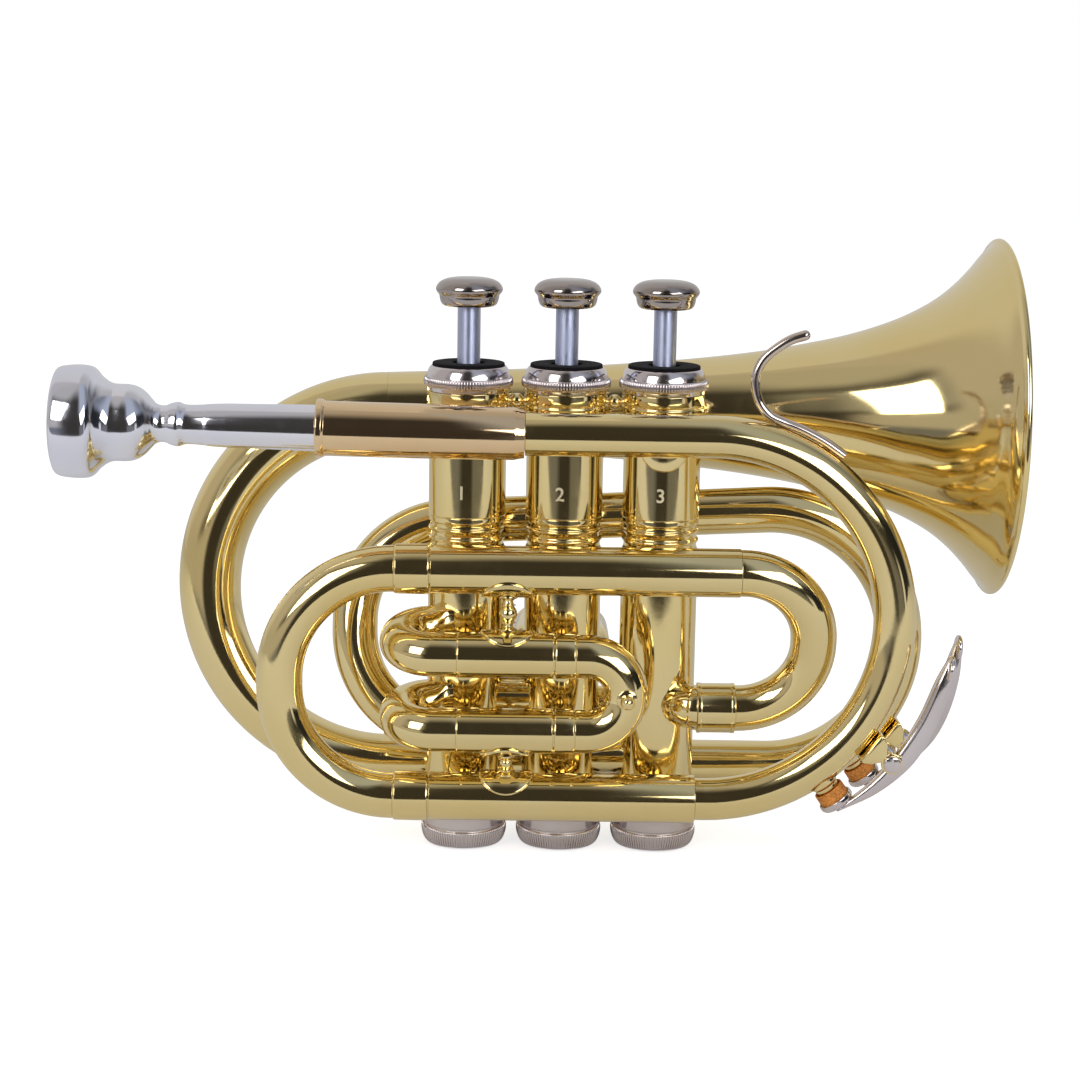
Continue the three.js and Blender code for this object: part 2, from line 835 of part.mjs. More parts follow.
// A slide: a crook with a ferrule and an inner leg at each end. The ends give the ferrules' mouths.
function slideCrook(size) {
  const { ends, along, reach, bend, radius, ferrule, ferruleRadius: sleeve, leg, tubeRadius } = size;
  const legRadius = tubeRadius - tubeWall - runningGap;
  const legRun = (end) => [-leg, 0].map((far) => ({ far, end, size: legRadius }));
  const ferruleRun = (end) => [seatGap, ferrule].map((far) => ({ far, end, size: sleeve }));
  const marks = (end) => [...legRun(end), ...ferruleRun(end)];
  const place = ({ far, end }) => end.clone().addScaledVector(along, far);
  const corners = ends.map((end) => end.clone().addScaledVector(along, reach));
  const starts = ends.map((end) => end.clone().addScaledVector(along, ferrule + seatGap));
  const bendRoute = routeStations([starts[0], ...corners, starts[1]], [bend, bend], size.steps);
  const back = along.clone().negate();
  const stations = [
    ...marks(ends[0]).map((mark) => ({ at: place(mark), along, size: mark.size })),
    ...bendRoute.map((station) => ({ ...station, size: radius })),
    ...marks(ends[1]).reverse().map((mark) => ({ at: place(mark), along: back, size: mark.size })),
  ];
  return swept(stations, (station) => station.size, () => legRadius - tubeWall, size.sides);
}

function tuningSlide() {
  const upper = point(lowerSlideLeft - seatGap, frontPlane, upperSlideHeight);
  const lower = upper.clone().setZ(lowerSlideHeight);
  return slideCrook({
    ends: [upper, lower],
    along: X_AXIS.clone().negate(),
    reach: upper.x - crookReach,
    bend: crookBend,
    radius: crookRadius,
    ferrule: ferruleLength,
    ferruleRadius,
    leg: tuningLegLength,
    tubeRadius: slideTubeRadius,
    sides: tubeSides,
    steps: crookSteps,
  });
}

function smallBow() {
  const top = point(smallBowReach, frontPlane, upperSlideHeight);
  const low = point(smallBowReach, inletPlane, inletHeight);
  const bend = top.distanceTo(low) / 2 - smallBowSlack;
  const start = top.clone().setX(upperSlideRight + seatGap);
  const shoulder = low.clone().setX(inletFerruleEnd + seatGap);
  const bow = routeStations([start, top, low, shoulder], [bend, bend], crookSteps);
  const back = X_AXIS.clone().negate();
  const sleeve = [inletFerruleEnd, inletFerruleStart].map((x) => ({ at: low.clone().setX(x), along: back }));
  const outer = (station) => (sleeve.includes(station) ? inletFerruleRadius : crookRadius);
  return swept([...bow, ...sleeve], outer, () => crookRadius - tubeWall);
}

function inletKnuckle() {
  const mouth = inletPort.clone().setX(inletFerruleStart - seatGap);
  const core = (radius, overrun, sides) =>
    joined(
      rod(radius, mouth.clone().setX(mouth.x + overrun), inletPort, sides),
      ball(radius, inletPort, sides),
      rod(radius, inletPort, point(casingX(3) + knuckleRadius / 2, 0, inletHeight), sides),
    );
  const airway = core(knuckleRadius - tubeWall, cutOverrun, portSides);
  const elbow = core(knuckleRadius, 0, tubeSides).trimByPlane([-1, 0, 0], -mouth.x);
  return cutBy(elbow, airway, casingSaddle(3));
}

function firstSlideTube(height) {
  const port = point(casingX(1), firstPortPlane, height + firstPortRise);
  const back = port.clone().setX(firstReturnReach);
  const front = point(firstReturnReach, firstPlane, height);
  const bend = back.distanceTo(front) / 2 - bendSlack;
  const corners = [port, back, front, front.clone().setX(firstTubeEnd)];
  const stations = routeStations(corners, [bend, bend], crookSteps);
  return cutBy(pipe(stations, firstTubeRadius), casingSaddle(1));
}

function firstSlide() {
  const upper = point(firstTubeEnd + seatGap, firstPlane, firstUpperHeight);
  const bend = (firstUpperHeight - firstLowerHeight) / 2;
  const crook = slideCrook({
    ends: [upper, upper.clone().setZ(firstLowerHeight)],
    along: X_AXIS,
    reach: firstFerrule + firstCrookRun + bend,
    bend,
    radius: firstCrookRadius,
    ferrule: firstFerrule,
    ferruleRadius: firstTubeRadius,
    leg: firstLegLength,
    tubeRadius: firstTubeRadius,
    sides: tubeSides,
    steps: crookSteps,
  });
  const apex = upper.clone().add(point(firstFerrule + firstCrookRun + bend, 0, -bend));
  const surface = apex.clone().setY(firstPlane - firstCrookRadius + tubeWall / 2);
  const head = surface.clone().setY(surface.y - firstKnobStand);
  return joined(crook, rod(firstKnobRadius / 2, surface, head, smallSides), ball(firstKnobRadius, head));
}

function secondSlide() {
  const end = point(casingX(2) - secondSpread, secondTubeEnd + seatGap, secondHeight);
  return slideCrook({
    ends: [end, end.clone().setX(casingX(2) + secondSpread)],
    along: Y_AXIS,
    reach: secondFerrule + 2 * seatGap + secondSpread,
    bend: secondSpread,
    radius: secondCrookRadius,
    ferrule: secondFerrule,
    ferruleRadius: secondTubeRadius,
    leg: secondLegLength,
    tubeRadius: secondTubeRadius,
    sides: hiddenSides,
    steps: hiddenSteps,
  });
}

function thirdSlideTube(height) {
  const port = point(casingX(3), 0, height);
  const corner = port.clone().setY(thirdPlane);
  const corners = [port, corner, corner.clone().setX(thirdTubeEnd)];
  const stations = routeStations(corners, [thirdElbowRadius], crookSteps);
  return cutBy(pipe(stations, thirdTubeRadius, tubeWall, hiddenSides), casingSaddle(3));
}

function thirdSlide() {
  const upper = point(thirdTubeEnd - seatGap, thirdPlane, thirdUpperHeight);
  const bend = (thirdUpperHeight - thirdLowerHeight) / 2;
  return slideCrook({
    ends: [upper, upper.clone().setZ(thirdLowerHeight)],
    along: X_AXIS.clone().negate(),
    reach: thirdFerrule + 2 * seatGap + bend,
    bend,
    radius: thirdCrookRadius,
    ferrule: thirdFerrule,
    ferruleRadius: thirdTubeRadius,
    leg: thirdLegLength,
    tubeRadius: thirdTubeRadius,
    sides: hiddenSides,
    steps: hiddenSteps,
  });
}

// The branch's corners, from the first casing to the bell.
const branchCorners = {
  outlet: outletPort.clone().setX(casingX(1)),
  firstLow: point(firstBowReach, outletDrift, outletHeight - outletDrop),
  firstHigh: point(firstBowReach, rearPlane, branchLeftHeight),
  rearHigh: point(rearBowReach, rearPlane, branchRightHeight),
  rearLow: point(rearBowReach, rearPlane, rearLowHeight),
  bellLow: point(bellBowReach, rearPlane, rearLowHeight),
  bellHigh: point(bellBowReach, bellPlane, bellHeight),
};

function branchSeamAt(x) {
  const { firstHigh, rearHigh } = branchCorners;
  return firstHigh.clone().lerp(rearHigh, (x - firstHigh.x) / (rearHigh.x - firstHigh.x));
}

// The ferrule at the first casing is a swelling over the first part of the route.
function branchFirstBow() {
  const { outlet, firstLow, firstHigh } = branchCorners;
  const corners = [outlet, firstLow, firstHigh, branchSeamAt(branchSeam)];
  const stations = routeStations(corners, [firstBowRadius, firstBowRadius]);
  const ferruleEnd = casingRadius + outletFerrule;
  const outer = (station) => branchRadius + (station.travel < ferruleEnd ? outletFerruleStand : 0);
  return cutBy(swept(stations, outer, () => branchRadius - tubeWall), casingSaddle(1));
}

// A radius that grows evenly along the stations.
function growing(stations, from, to) {
  const length = stations[stations.length - 1].travel;
  return (station) => from + ((to - from) * station.travel) / length;
}

function branchRearStations() {
  const { rearHigh, rearLow } = branchCorners;
  const start = branchSeamAt(branchSeam + seatGap);
  const end = rearLow.clone().setX(bellBowStart);
  return routeStations([start, rearHigh, rearLow, end], [rearBowRadius, rearBowRadius]);
}

function branchRearBow() {
  const stations = branchRearStations();
  return nippledTube(stations, growing(stations, branchRadius, branchLowRadius), rearBow);
}

function bellBow() {
  const { bellLow, bellHigh } = branchCorners;
  const start = bellLow.clone().setX(bellBowStart - seatGap);
  const end = bellHigh.clone().setX(bellJoint);
  const bend = bellLow.distanceTo(bellHigh) / 2 - bendSlack;
  const stations = routeStations([start, bellLow, bellHigh, end], [bend, bend]);
  const outer = growing(stations, branchLowRadius, bellThroatRadius);
  return swept(stations, outer, (station) => outer(station) - tubeWall);
}

// Shares of the bell's length and of its rim radius.
const bellShares = [
  [0, 0.203], [0.25, 0.238], [0.495, 0.303], [0.65, 0.377], [0.75, 0.449], [0.84, 0.555],
  [0.9, 0.666], [0.945, 0.798], [0.978, 0.932],
];

function bellProfile(inset) {
  const start = bellJoint + seatGap;
  const length = bellEnd - start;
  return bellShares.map(([along, across]) => [across * bellRimRadius - inset, along * length]);
}

function bell() {
  const length = bellEnd - bellJoint - seatGap;
  const outer = bellProfile(0);
  const inner = bellProfile(bellWall);
  const bead = [
    [bellRimRadius, length - bellRimBead],
    [bellRimRadius - bellBeadRound, length],
    [bellRimRadius - bellBeadWidth, length],
  ];
  const profile = [...outer, ...bead, ...inner.reverse(), outer[0]];
  return turned(profile, point(bellJoint + seatGap, bellPlane, bellHeight), X_AXIS, bellSides);
}

// The hook's free part, as shares of its height over the place where it leaves the bow.
const hookShares = [
  [-0.13, 0.065], [-0.25, 0.215], [-0.3, 0.4], [-0.298, 0.54], [-0.22, 0.71], [-0.05, 0.86],
  [0.1, 0.95], [0.25, 1],
];

function fingerHook() {
  const height = hookWire + seatGap;
  const tail = [0, 1 / 3, 2 / 3, 1].map((share) =>
    overBow(frontBow, hookTailAngle + share * (hookLeaveAngle - hookTailAngle), height),
  );
  const leave = tail[tail.length - 1];
  const free = hookShares.map(([across, up]) =>
    leave.clone().add(point(across * hookHeight, 0, up * hookHeight)),
  );
  const curve = new THREE.CatmullRomCurve3([...tail, ...free], false, "centripetal");
  const stations = [];
  for (let i = 0; i <= hookSteps; i += 1) {
    stations.push({ at: curve.getPoint(i / hookSteps), along: curve.getTangent(i / hookSteps) });
  }
  const last = stations[stations.length - 1];
  const end = { at: last.at.clone().addScaledVector(last.along, hookTip), along: last.along };
  const swell = (station) => (station.travel < hookHeight * hookSwellShare ? hookWire : hookTip);
  return swept(withTravel([...stations, end]), swell, null, hookSides);
}

// A round foot plate bent over a tube whose axis runs through `centre` along `axis`, facing `toward`.
function footPlate(centre, axis, tube, toward) {
  const out = toward.clone().sub(centre);
  out.addScaledVector(axis, -out.dot(axis)).normalize();
  const side = new THREE.Vector3().crossVectors(out, axis);
  const low = tube + plateLift;
  const bent = (along, around, height) => {
    const angle = around / low;
    const spot = centre.clone().addScaledVector(axis, along);
    spot.addScaledVector(out, height * Math.cos(angle));
    return spot.addScaledVector(side, height * Math.sin(angle));
  };
  const rings = [0, braceFlangeRadius / 2, braceFlangeRadius];
  const spot = (ring, sector, height) => {
    const angle = (2 * Math.PI * sector) / plateSides;
    return bent(rings[ring] * Math.cos(angle), rings[ring] * Math.sin(angle), height);
  };
  const triangles = [];
  for (const [height, flip] of [[low, false], [low + braceFlangeThickness, true]]) {
    for (let k = 0; k < plateSides; k += 1) {
      const [a, b] = flip ? [k, k + 1] : [k + 1, k];
      triangles.push(spot(0, 0, height), spot(1, a, height), spot(1, b, height));
      triangles.push(spot(1, a, height), spot(2, a, height), spot(2, b, height));
      triangles.push(spot(1, a, height), spot(2, b, height), spot(1, b, height));
    }
  }
  const high = low + braceFlangeThickness;
  for (let k = 0; k < plateSides; k += 1) {
    triangles.push(spot(2, k, low), spot(2, k + 1, low), spot(2, k + 1, high));
    triangles.push(spot(2, k, low), spot(2, k + 1, high), spot(2, k, high));
  }
  return solidOf(new THREE.BufferGeometry().setFromPoints(triangles));
}

// A turned post with a ball at its middle between two tubes.
function turnedPost(from, fromTube, to, toTube) {
  const middleReach = fromTube + (from.distanceTo(to) - fromTube - toTube) / 2;
  const along = to.clone().sub(from).normalize();
  const middle = from.clone().addScaledVector(along, middleReach);
  const start = from.clone().addScaledVector(along, fromTube + seatGap);
  const end = to.clone().addScaledVector(along, -toTube - seatGap);
  return joined(
    rod(bracePostRadius, start, end, smallSides),
    ball(Math.min(braceBallRadius, start.distanceTo(end) * braceBallShare), middle),
  );
}

function slideBrace(slideHeight, firstHeight) {
  const slide = point(slideBraceX, frontPlane, slideHeight);
  const first = point(slideBraceX, firstPlane, firstHeight);
  return joined(
    turnedPost(slide, slideTubeRadius, first, firstTubeRadius),
    footPlate(slide, X_AXIS, slideTubeRadius, first),
    footPlate(first, X_AXIS, firstTubeRadius, slide),
  );
}

// The post meets the casing's wall, so its line is aimed past that place at the valve's axis.
function leadpipeBrace() {
  const pipeSide = point(casingX(3), frontPlane, leadpipeHeight);
  const meeting = point(casingX(3), -casingRadius, casingTop - leadpipeBraceDrop);
  const aim = pipeSide.clone().lerp(meeting, frontPlane / (frontPlane + casingRadius));
  const plateCentre = point(casingX(3), 0, casingTop - leadpipePlateDrop);
  const brace = joined(
    turnedPost(pipeSide, leadpipeRadius, aim, casingRadius),
    footPlate(pipeSide, X_AXIS, leadpipeRadius, aim),
    footPlate(plateCentre, Z_AXIS, casingRadius, pipeSide),
  );
  return cutBy(brace, casingSaddle(3));
}

function bellBrace() {
  const to = point(bellBraceX + casingBandRadius, bellPlane, bellHeight);
  const axis = point(casingX(3), 0, bellHeight);
  const wall = axis.clone().lerp(to, casingBandRadius / axis.distanceTo(to));
  const meeting = wall.setZ(casingTop - bellBraceDrop);
  const from = to.clone().lerp(meeting, 1 + casingBandRadius / to.distanceTo(meeting));
  const middle = meeting.clone().lerp(to, bellBraceBallShare);
  const post = joined(rod(bracePostRadius, from, to, smallSides), ball(braceBallRadius, middle));
  const room = turned(
    [[0, 0], ...bellProfile(-seatGap), [0, bellEnd - bellJoint - seatGap]],
    point(bellJoint + seatGap, bellPlane, bellHeight),
    X_AXIS,
    bellSides,
  );
  return cutBy(post, casingCore(3, casingBandRadius + seatGap), room);
}

// The saddle of a water key: a block on the bow, two ears, and the hinge screw through them.
function waterKeySaddle(bow, stations) {
  const aside = keyEarSpacing / 2;
  const hinge = overBow(bow, keyHingeAngle, keyHingeRise);
  const earRod = (hand) => {
    const y = hand * aside;
    const inner = hinge.clone().add(point(0, y - (hand * keyEarThickness) / 2, 0));
    const outer = hinge.clone().add(point(0, y + (hand * keyEarThickness) / 2, 0));
    return rod(keyEarRadius, inner, outer, smallSides);
  };
  const upright = (hand) => {
    const foot = overBow(bow, keyHingeAngle, -bow.tube / 2);
    const width = keyEarRadius * 2;
    const height = hinge.distanceTo(foot);
    const geometry = new THREE.BoxGeometry(height, keyEarThickness, width);
    geometry.translate(height / 2, hand * aside, 0);
    geometry.rotateY(-THREE.MathUtils.degToRad(keyHingeAngle));
    geometry.translate(foot.x, foot.y, foot.z);
    return solidOf(geometry);
  };
  const base = () => {
    const foot = overBow(bow, keyHingeAngle, -bow.tube / 2);
    const height = bow.tube / 2 + keyEarThickness;
    const geometry = new THREE.BoxGeometry(height, keyEarSpacing + keyEarThickness, keySaddleLength);
    geometry.translate(height / 2, 0, 0);
    geometry.rotateY(-THREE.MathUtils.degToRad(keyHingeAngle));
    geometry.translate(foot.x, foot.y, foot.z);
    return solidOf(geometry);
  };
  const reach = aside + keyEarThickness / 2;
  const pin = rod(
    keyPinRadius,
    hinge.clone().add(point(0, -reach, 0)),
    hinge.clone().add(point(0, reach, 0)),
    smallSides,
  );
  const head = rod(
    keyScrewRadius,
    hinge.clone().add(point(0, -reach - keyScrewLength, 0)),
    hinge.clone().add(point(0, -reach, 0)),
    smallSides,
  );
  const whole = joined(base(), upright(-1), upright(1), earRod(-1), earRod(1), pin, head);
  return cutBy(whole, swept(stations, () => bow.tube + seatGap));
}

// The lever's two edges, as shares of the turn from the nipple to the tip and of the hinge's rise.
const keyInnerShares = [
  [0, 0.98], [0.2, 0.94], [0.36, 0.96], [0.52, 0.98], [0.66, 1.03], [0.86, 1.12], [0.97, 1.36],
];
const keyOuterShares = [
  [-0.02, 1.14], [0.166, 1.49], [0.315, 1.71], [0.438, 1.82], [0.6, 1.8], [0.8, 1.73], [0.97, 1.66],
];

// The lever of a water key: a barrel on the hinge pin, an arm with the cork's cup, and a finger plate.
function waterKeyLever(bow) {
  const aside = -keyBarrelOffset;
  const hinge = overBow(bow, keyHingeAngle, keyHingeRise, aside);
  const corkTop = keyNippleRise + seatGap + keyCorkThickness;
  const cupFloor = corkTop + seatGap;
  const half = point(0, keyBarrelLength / 2, 0);
  const barrel = rod(keyBarrelRadius, hinge.clone().sub(half), hinge.clone().add(half), smallSides);
  const overrun = point(0, keyBarrelLength, 0);
  const pinRoom = keyPinRadius + runningGap;
  const pinHole = rod(pinRoom, hinge.clone().sub(overrun), hinge.clone().add(overrun), smallSides);
  const cup = rod(
    keyCupRadius,
    overBow(bow, keyNippleAngle, cupFloor - keyCupDepth),
    overBow(bow, keyNippleAngle, cupFloor + keyCupWall),
    smallSides,
  );
  const cupHollow = rod(
    keyCorkRadius + seatGap,
    overBow(bow, keyNippleAngle, cupFloor - keyCupDepth - cutOverrun),
    overBow(bow, keyNippleAngle, cupFloor),
    smallSides,
  );
  const edge = (shares) =>
    shares.map(([turn, rise]) => {
      const angle = keyNippleAngle + turn * (bow.keyTip - keyNippleAngle);
      const spot = overBow(bow, angle, rise * keyHingeRise);
      return new THREE.Vector2(spot.x, spot.z);
    });
  const outline = new THREE.Shape([...edge(keyInnerShares), ...edge(keyOuterShares).reverse()]);
  const armGeometry = new THREE.ExtrudeGeometry(outline, { depth: keyLeverWidth, bevelEnabled: false });
  armGeometry.rotateX(Math.PI / 2);
  armGeometry.translate(0, hinge.y + keyLeverWidth / 2, 0);
  const tip = overBow(bow, bow.keyTip - keyTipInset, keyTipStand, aside);
  const outward = tip.clone().sub(bow.centre).setY(0).normalize();
  const plate = rod(
    keyTipRadius,
    tip.clone().addScaledVector(outward, -keyPlateThickness),
    tip.clone().addScaledVector(outward, keyPlateThickness),
    smallSides,
  );
  return cutBy(joined(barrel, cup, plate, solidOf(armGeometry)), cupHollow, pinHole);
}

function waterKeyCork(bow) {
  const low = keyNippleRise + seatGap;
  const from = overBow(bow, keyNippleAngle, low);
  return rod(keyCorkRadius, from, overBow(bow, keyNippleAngle, low + keyCorkThickness), tubeSides);
}

// The torsion spring round a hinge pin: one unbroken wire with a straight tail at each end.
function waterKeySpringPoints(bow) {
  const hinge = overBow(bow, keyHingeAngle, keyHingeRise);
  const start = keyBarrelLength - keyBarrelOffset - keyBarrelLength / 2 + seatGap + keySpringWire;
  const points = [];
  const count = keySpringCurls * curlSteps;
  for (let i = 0; i <= count; i += 1) {
    const angle = (2 * Math.PI * i) / curlSteps;
    const y = start + (keySpringPitch * i) / curlSteps;
    const [across, up] = [keySpringRadius * Math.cos(angle), keySpringRadius * Math.sin(angle)];
    points.push(hinge.clone().add(point(across, y, up)));
  }
  const tail = (end, hand) => end.clone().add(point(0, 0, hand * keySpringTail));
  return [tail(points[0], -1), ...points, tail(points[points.length - 1], 1)];
}

function waterKeySpring(bow) {
  const points = waterKeySpringPoints(bow);
  const stations = points.map((at, i) => {
    const before = points[Math.max(0, i - 1)];
    const after = points[Math.min(points.length - 1, i + 1)];
    return { at, along: after.clone().sub(before).normalize() };
  });
  return swept(stations, () => keySpringWire, null, curlSides);
}

// The least gap between wires that pass each other, measured between places over a third of a curl apart.
function leastSpringGap(bow) {
  const points = waterKeySpringPoints(bow);
  let least = Infinity;
  for (let i = 0; i < points.length; i += 1) {
    for (let j = i + Math.ceil(curlSteps / 3); j < points.length; j += 1) {
      least = Math.min(least, points[i].distanceTo(points[j]) - 2 * keySpringWire);
    }
  }
  return least;
}
console.log(`least gap of a water key spring to itself: ${leastSpringGap(frontBow).toFixed(3)} mm`);

const finishes = {
  brass: { color: 0xc8a860, roughness: 0.16, metalness: 1 },
  redBrass: { color: 0xb98a58, roughness: 0.16, metalness: 1 },
  nickel: { color: 0xb9b3b8, roughness: 0.14, metalness: 1 },
  silver: { color: 0xd6dae2, roughness: 0.08, metalness: 1 },
  steel: { color: 0x9aa5b2, roughness: 0.25, metalness: 1 },
  felt: { color: 0x161414, roughness: 0.95, metalness: 0 },
  cork: { color: 0xb9742c, roughness: 0.9, metalness: 0 },
};

const trumpet = new THREE.Group();

function add(name, solid, finish) {
  const mesh = new THREE.Mesh(geometryOf(solid), new THREE.MeshStandardMaterial(finishes[finish]));
  mesh.name = name;
  trumpet.add(mesh);
}

for (const number of [1, 2, 3]) {
  add(`valve_casing_${number}`, valveCasing(number), "brass");
  add(`top_cap_${number}`, topCap(number), "nickel");
  add(`top_cap_felt_${number}`, topCapFelt(number), "felt");
  add(`bottom_cap_${number}`, bottomCap(number), "nickel");
  add(`piston_${number}`, piston(number), "steel");
  add(`valve_stem_${number}`, valveStem(number), "steel");
  add(`finger_button_${number}`, fingerButton(number), "nickel");
  add(`valve_guide_${number}`, valveGuide(number), "brass");
  add(`valve_spring_${number}`, valveSpring(number), "steel");
}
add("mouthpiece", mouthpiece(), "silver");
add("mouthpiece_receiver", mouthpieceReceiver(), "redBrass");
add("leadpipe", leadpipe(), "brass");
add("lower_slide_tube", slideTube(lowerSlideHeight, lowerSlideRight), "brass");
add("upper_slide_tube", slideTube(upperSlideHeight, upperSlideRight), "brass");
add("tuning_slide", tuningSlide(), "brass");
add("small_bow", smallBow(), "brass");
add("inlet_knuckle", inletKnuckle(), "brass");
add("first_slide_tube_upper", firstSlideTube(firstUpperHeight), "brass");
add("first_slide_tube_lower", firstSlideTube(firstLowerHeight), "brass");
add("first_slide", firstSlide(), "brass");
add("second_slide", secondSlide(), "brass");
add("third_slide_tube_upper", thirdSlideTube(thirdUpperHeight), "brass");
add("third_slide_tube_lower", thirdSlideTube(thirdLowerHeight), "brass");
add("third_slide", thirdSlide(), "brass");
add("branch_first_bow", branchFirstBow(), "brass");
add("branch_rear_bow", branchRearBow(), "brass");
add("bell_bow", bellBow(), "brass");
add("bell", bell(), "brass");
add("finger_hook", fingerHook(), "nickel");
add("slide_brace_upper", slideBrace(upperSlideHeight, firstUpperHeight), "brass");
add("slide_brace_lower", slideBrace(lowerSlideHeight, firstLowerHeight), "brass");
add("leadpipe_brace", leadpipeBrace(), "brass");
add("bell_brace", bellBrace(), "brass");

const keys = [
  { number: 1, bow: frontBow, stations: leadpipeStations() },
  { number: 2, bow: rearBow, stations: branchRearStations() },
];
for (const { number, bow, stations } of keys) {
  add(`water_key_saddle_${number}`, waterKeySaddle(bow, stations), "nickel");
  add(`water_key_lever_${number}`, waterKeyLever(bow), "nickel");
  add(`water_key_cork_${number}`, waterKeyCork(bow), "cork");
  add(`water_key_spring_${number}`, waterKeySpring(bow), "steel");
}

export default trumpet;
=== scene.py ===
"""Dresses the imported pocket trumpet: drawn tubes, turned caps, metal finishes and a plain studio."""

import math

import bmesh
import bpy
from mathutils import Matrix, Vector


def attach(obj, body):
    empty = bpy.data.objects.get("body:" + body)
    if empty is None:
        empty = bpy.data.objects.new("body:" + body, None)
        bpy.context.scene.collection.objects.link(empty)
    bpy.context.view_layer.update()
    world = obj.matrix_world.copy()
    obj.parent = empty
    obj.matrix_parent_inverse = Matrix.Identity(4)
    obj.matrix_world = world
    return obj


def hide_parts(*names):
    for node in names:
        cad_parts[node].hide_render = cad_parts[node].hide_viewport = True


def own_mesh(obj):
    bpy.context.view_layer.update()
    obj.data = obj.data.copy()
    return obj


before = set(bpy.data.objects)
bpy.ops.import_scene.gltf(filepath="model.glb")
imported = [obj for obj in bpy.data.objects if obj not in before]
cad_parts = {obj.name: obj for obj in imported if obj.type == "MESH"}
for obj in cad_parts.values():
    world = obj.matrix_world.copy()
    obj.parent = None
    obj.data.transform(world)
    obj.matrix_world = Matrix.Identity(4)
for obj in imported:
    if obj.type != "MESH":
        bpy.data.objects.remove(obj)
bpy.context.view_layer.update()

bl_info = {
    "name": "Pocket trumpet dressing",
    "version": (1, 0, 0),
    "blender": (4, 5, 0),
    "location": "3D View > Sidebar > Trumpet",
    "description": "Builds the finished surfaces of a pocket trumpet over its CAD model",
    "category": "Object",
}

# Lengths below are millimetres, as in the part's source; meshes are made in metres.
MM = 0.001
VALVE_SPACING = 24.6
CASING_X = {1: -VALVE_SPACING, 2: 0.0, 3: VALVE_SPACING}
FRONT_PLANE = -19.0
LEADPIPE_HEIGHT = 110.1
LEADPIPE_RADIUS = 5.3
RECEIVER_START = -61.3
RECEIVER_END = -10.3
MOUTHPIECE_LENGTH = 87
MOUTHPIECE_SEATED = 23.5
MOUTHPIECE_RIM = 13.5
CUP_DEPTH = 11.5
CUP_RADIUS = 8.3
FRONT_BOW_REACH = 82.4
FRONT_BOW_RADIUS = 46.1
LOWER_SLIDE_HEIGHT = 17.9
UPPER_SLIDE_HEIGHT = 76.1
SLIDE_LEFT = -33.0
LOWER_SLIDE_RIGHT = 33.6
UPPER_SLIDE_RIGHT = 43.6
SLIDE_TUBE_RADIUS = 6.05
INLET_HEIGHT = 39.3
INLET_PLANE = -10.0
INLET_END = 34.4
SMALL_BOW_REACH = 62.9
SMALL_BOW_RADIUS = 5.8
CROSSING_RADIUS = 5.4
BALL_BRACE_HEIGHT = 115.8
FIRST_PLANE = -22.5
FIRST_HEIGHTS = (55.2, 36.0)
FIRST_TUBE_RADIUS = 5.65
SECOND_HEIGHT = 51.5
SECOND_SPREAD = 7.3
THIRD_PLANE = 17.4
THIRD_HEIGHTS = (68.2, 32.2)
THIRD_TUBE_RADIUS = 5.3
REAR_PLANE = 17.2
REAR_BOW_REACH = 89.4
REAR_BOW_RADIUS = 34.5
REAR_LOW_HEIGHT = 16.7
REAR_TOP_HEIGHT = 87.6
BRANCH_LEFT = -53.7
BRANCH_RADIUS = 5.9
BRANCH_END_RADIUS = 6.4
BELL_BOW_START = -30
BELL_BOW_REACH = -92.9
BELL_PLANE = 28.0
BELL_HEIGHT = 109.6
BELL_START = -46.1
BELL_END = 114.2
BELL_RIM = 46.9
CASING_RADIUS = 9.75
BAND_RADIUS = 10.4
TOP_CAP_SEAT = 122.65
BUTTON_REST = 139.5
SPRING_LOW = 90.7
SPRING_HIGH = 113.8
SPRING_END_GAP = 0.45
GROOVE_HEIGHTS = (79.4, 81.9, 84.1)
NUMBER_HEIGHT = 91.9
NUMBER_SHIFTS = (1.3, 1.3, 0.7)
RECEIVER_TILT = math.radians(0.8)
KEY_NIPPLE_ANGLE = -54.0
KEY_HINGE_ANGLE = -37.0
KEY_HINGE_RISE = 6.3
KEY_ASIDE = -2.2
KEY_BARREL_LENGTH = 4.2
CORK_HEIGHT = 4.2

# The camera that was fitted to the photograph: metres, and radians about Z, X and Y.
CAMERA_PLACE = (-0.012558, -0.595688, 0.195020)
CAMERA_TURNS = ((-0.0111043, "Z"), (-0.1905522, "X"), (-0.0166579, "Y"))
CAMERA_LENS = 79.361

BELL_SHARES = (
    (0, 0.203), (0.24, 0.236), (0.37, 0.266), (0.495, 0.303), (0.607, 0.351), (0.688, 0.402),
    (0.75, 0.449), (0.806, 0.508), (0.85, 0.569), (0.895, 0.654), (0.928, 0.742), (0.956, 0.84),
    (0.978, 0.932), (0.988, 0.968),
)
MOUTHPIECE_SHARES = (
    (0, 0.86), (0.006, 0.955), (0.021, 1), (0.102, 1), (0.128, 0.84), (0.148, 0.745), (0.165, 0.705),
    (0.2, 0.7), (0.22, 0.68), (0.236, 0.64), (0.252, 0.565), (0.268, 0.455), (0.281, 0.37), (0.294, 0.337),
    (0.308, 0.337), (0.324, 0.378), (0.344, 0.404), (0.364, 0.363),
    (0.416, 0.37), (0.428, 0.381), (0.486, 0.4),
)
CUP_SHARES = ((0.05, 1), (0.25, 0.97), (0.55, 0.84), (0.8, 0.58), (0.93, 0.36))
HOOK_SHARES = (
    (-0.13, 0.065), (-0.25, 0.215), (-0.3, 0.4), (-0.298, 0.54), (-0.22, 0.71), (-0.05, 0.86),
    (0.1, 0.95), (0.25, 1),
)
KEY_INNER_SHARES = (
    (0, 1.03), (0.2, 1.03), (0.36, 1.02), (0.52, 1.0), (0.66, 1.03), (0.86, 1.12), (0.97, 1.36),
)
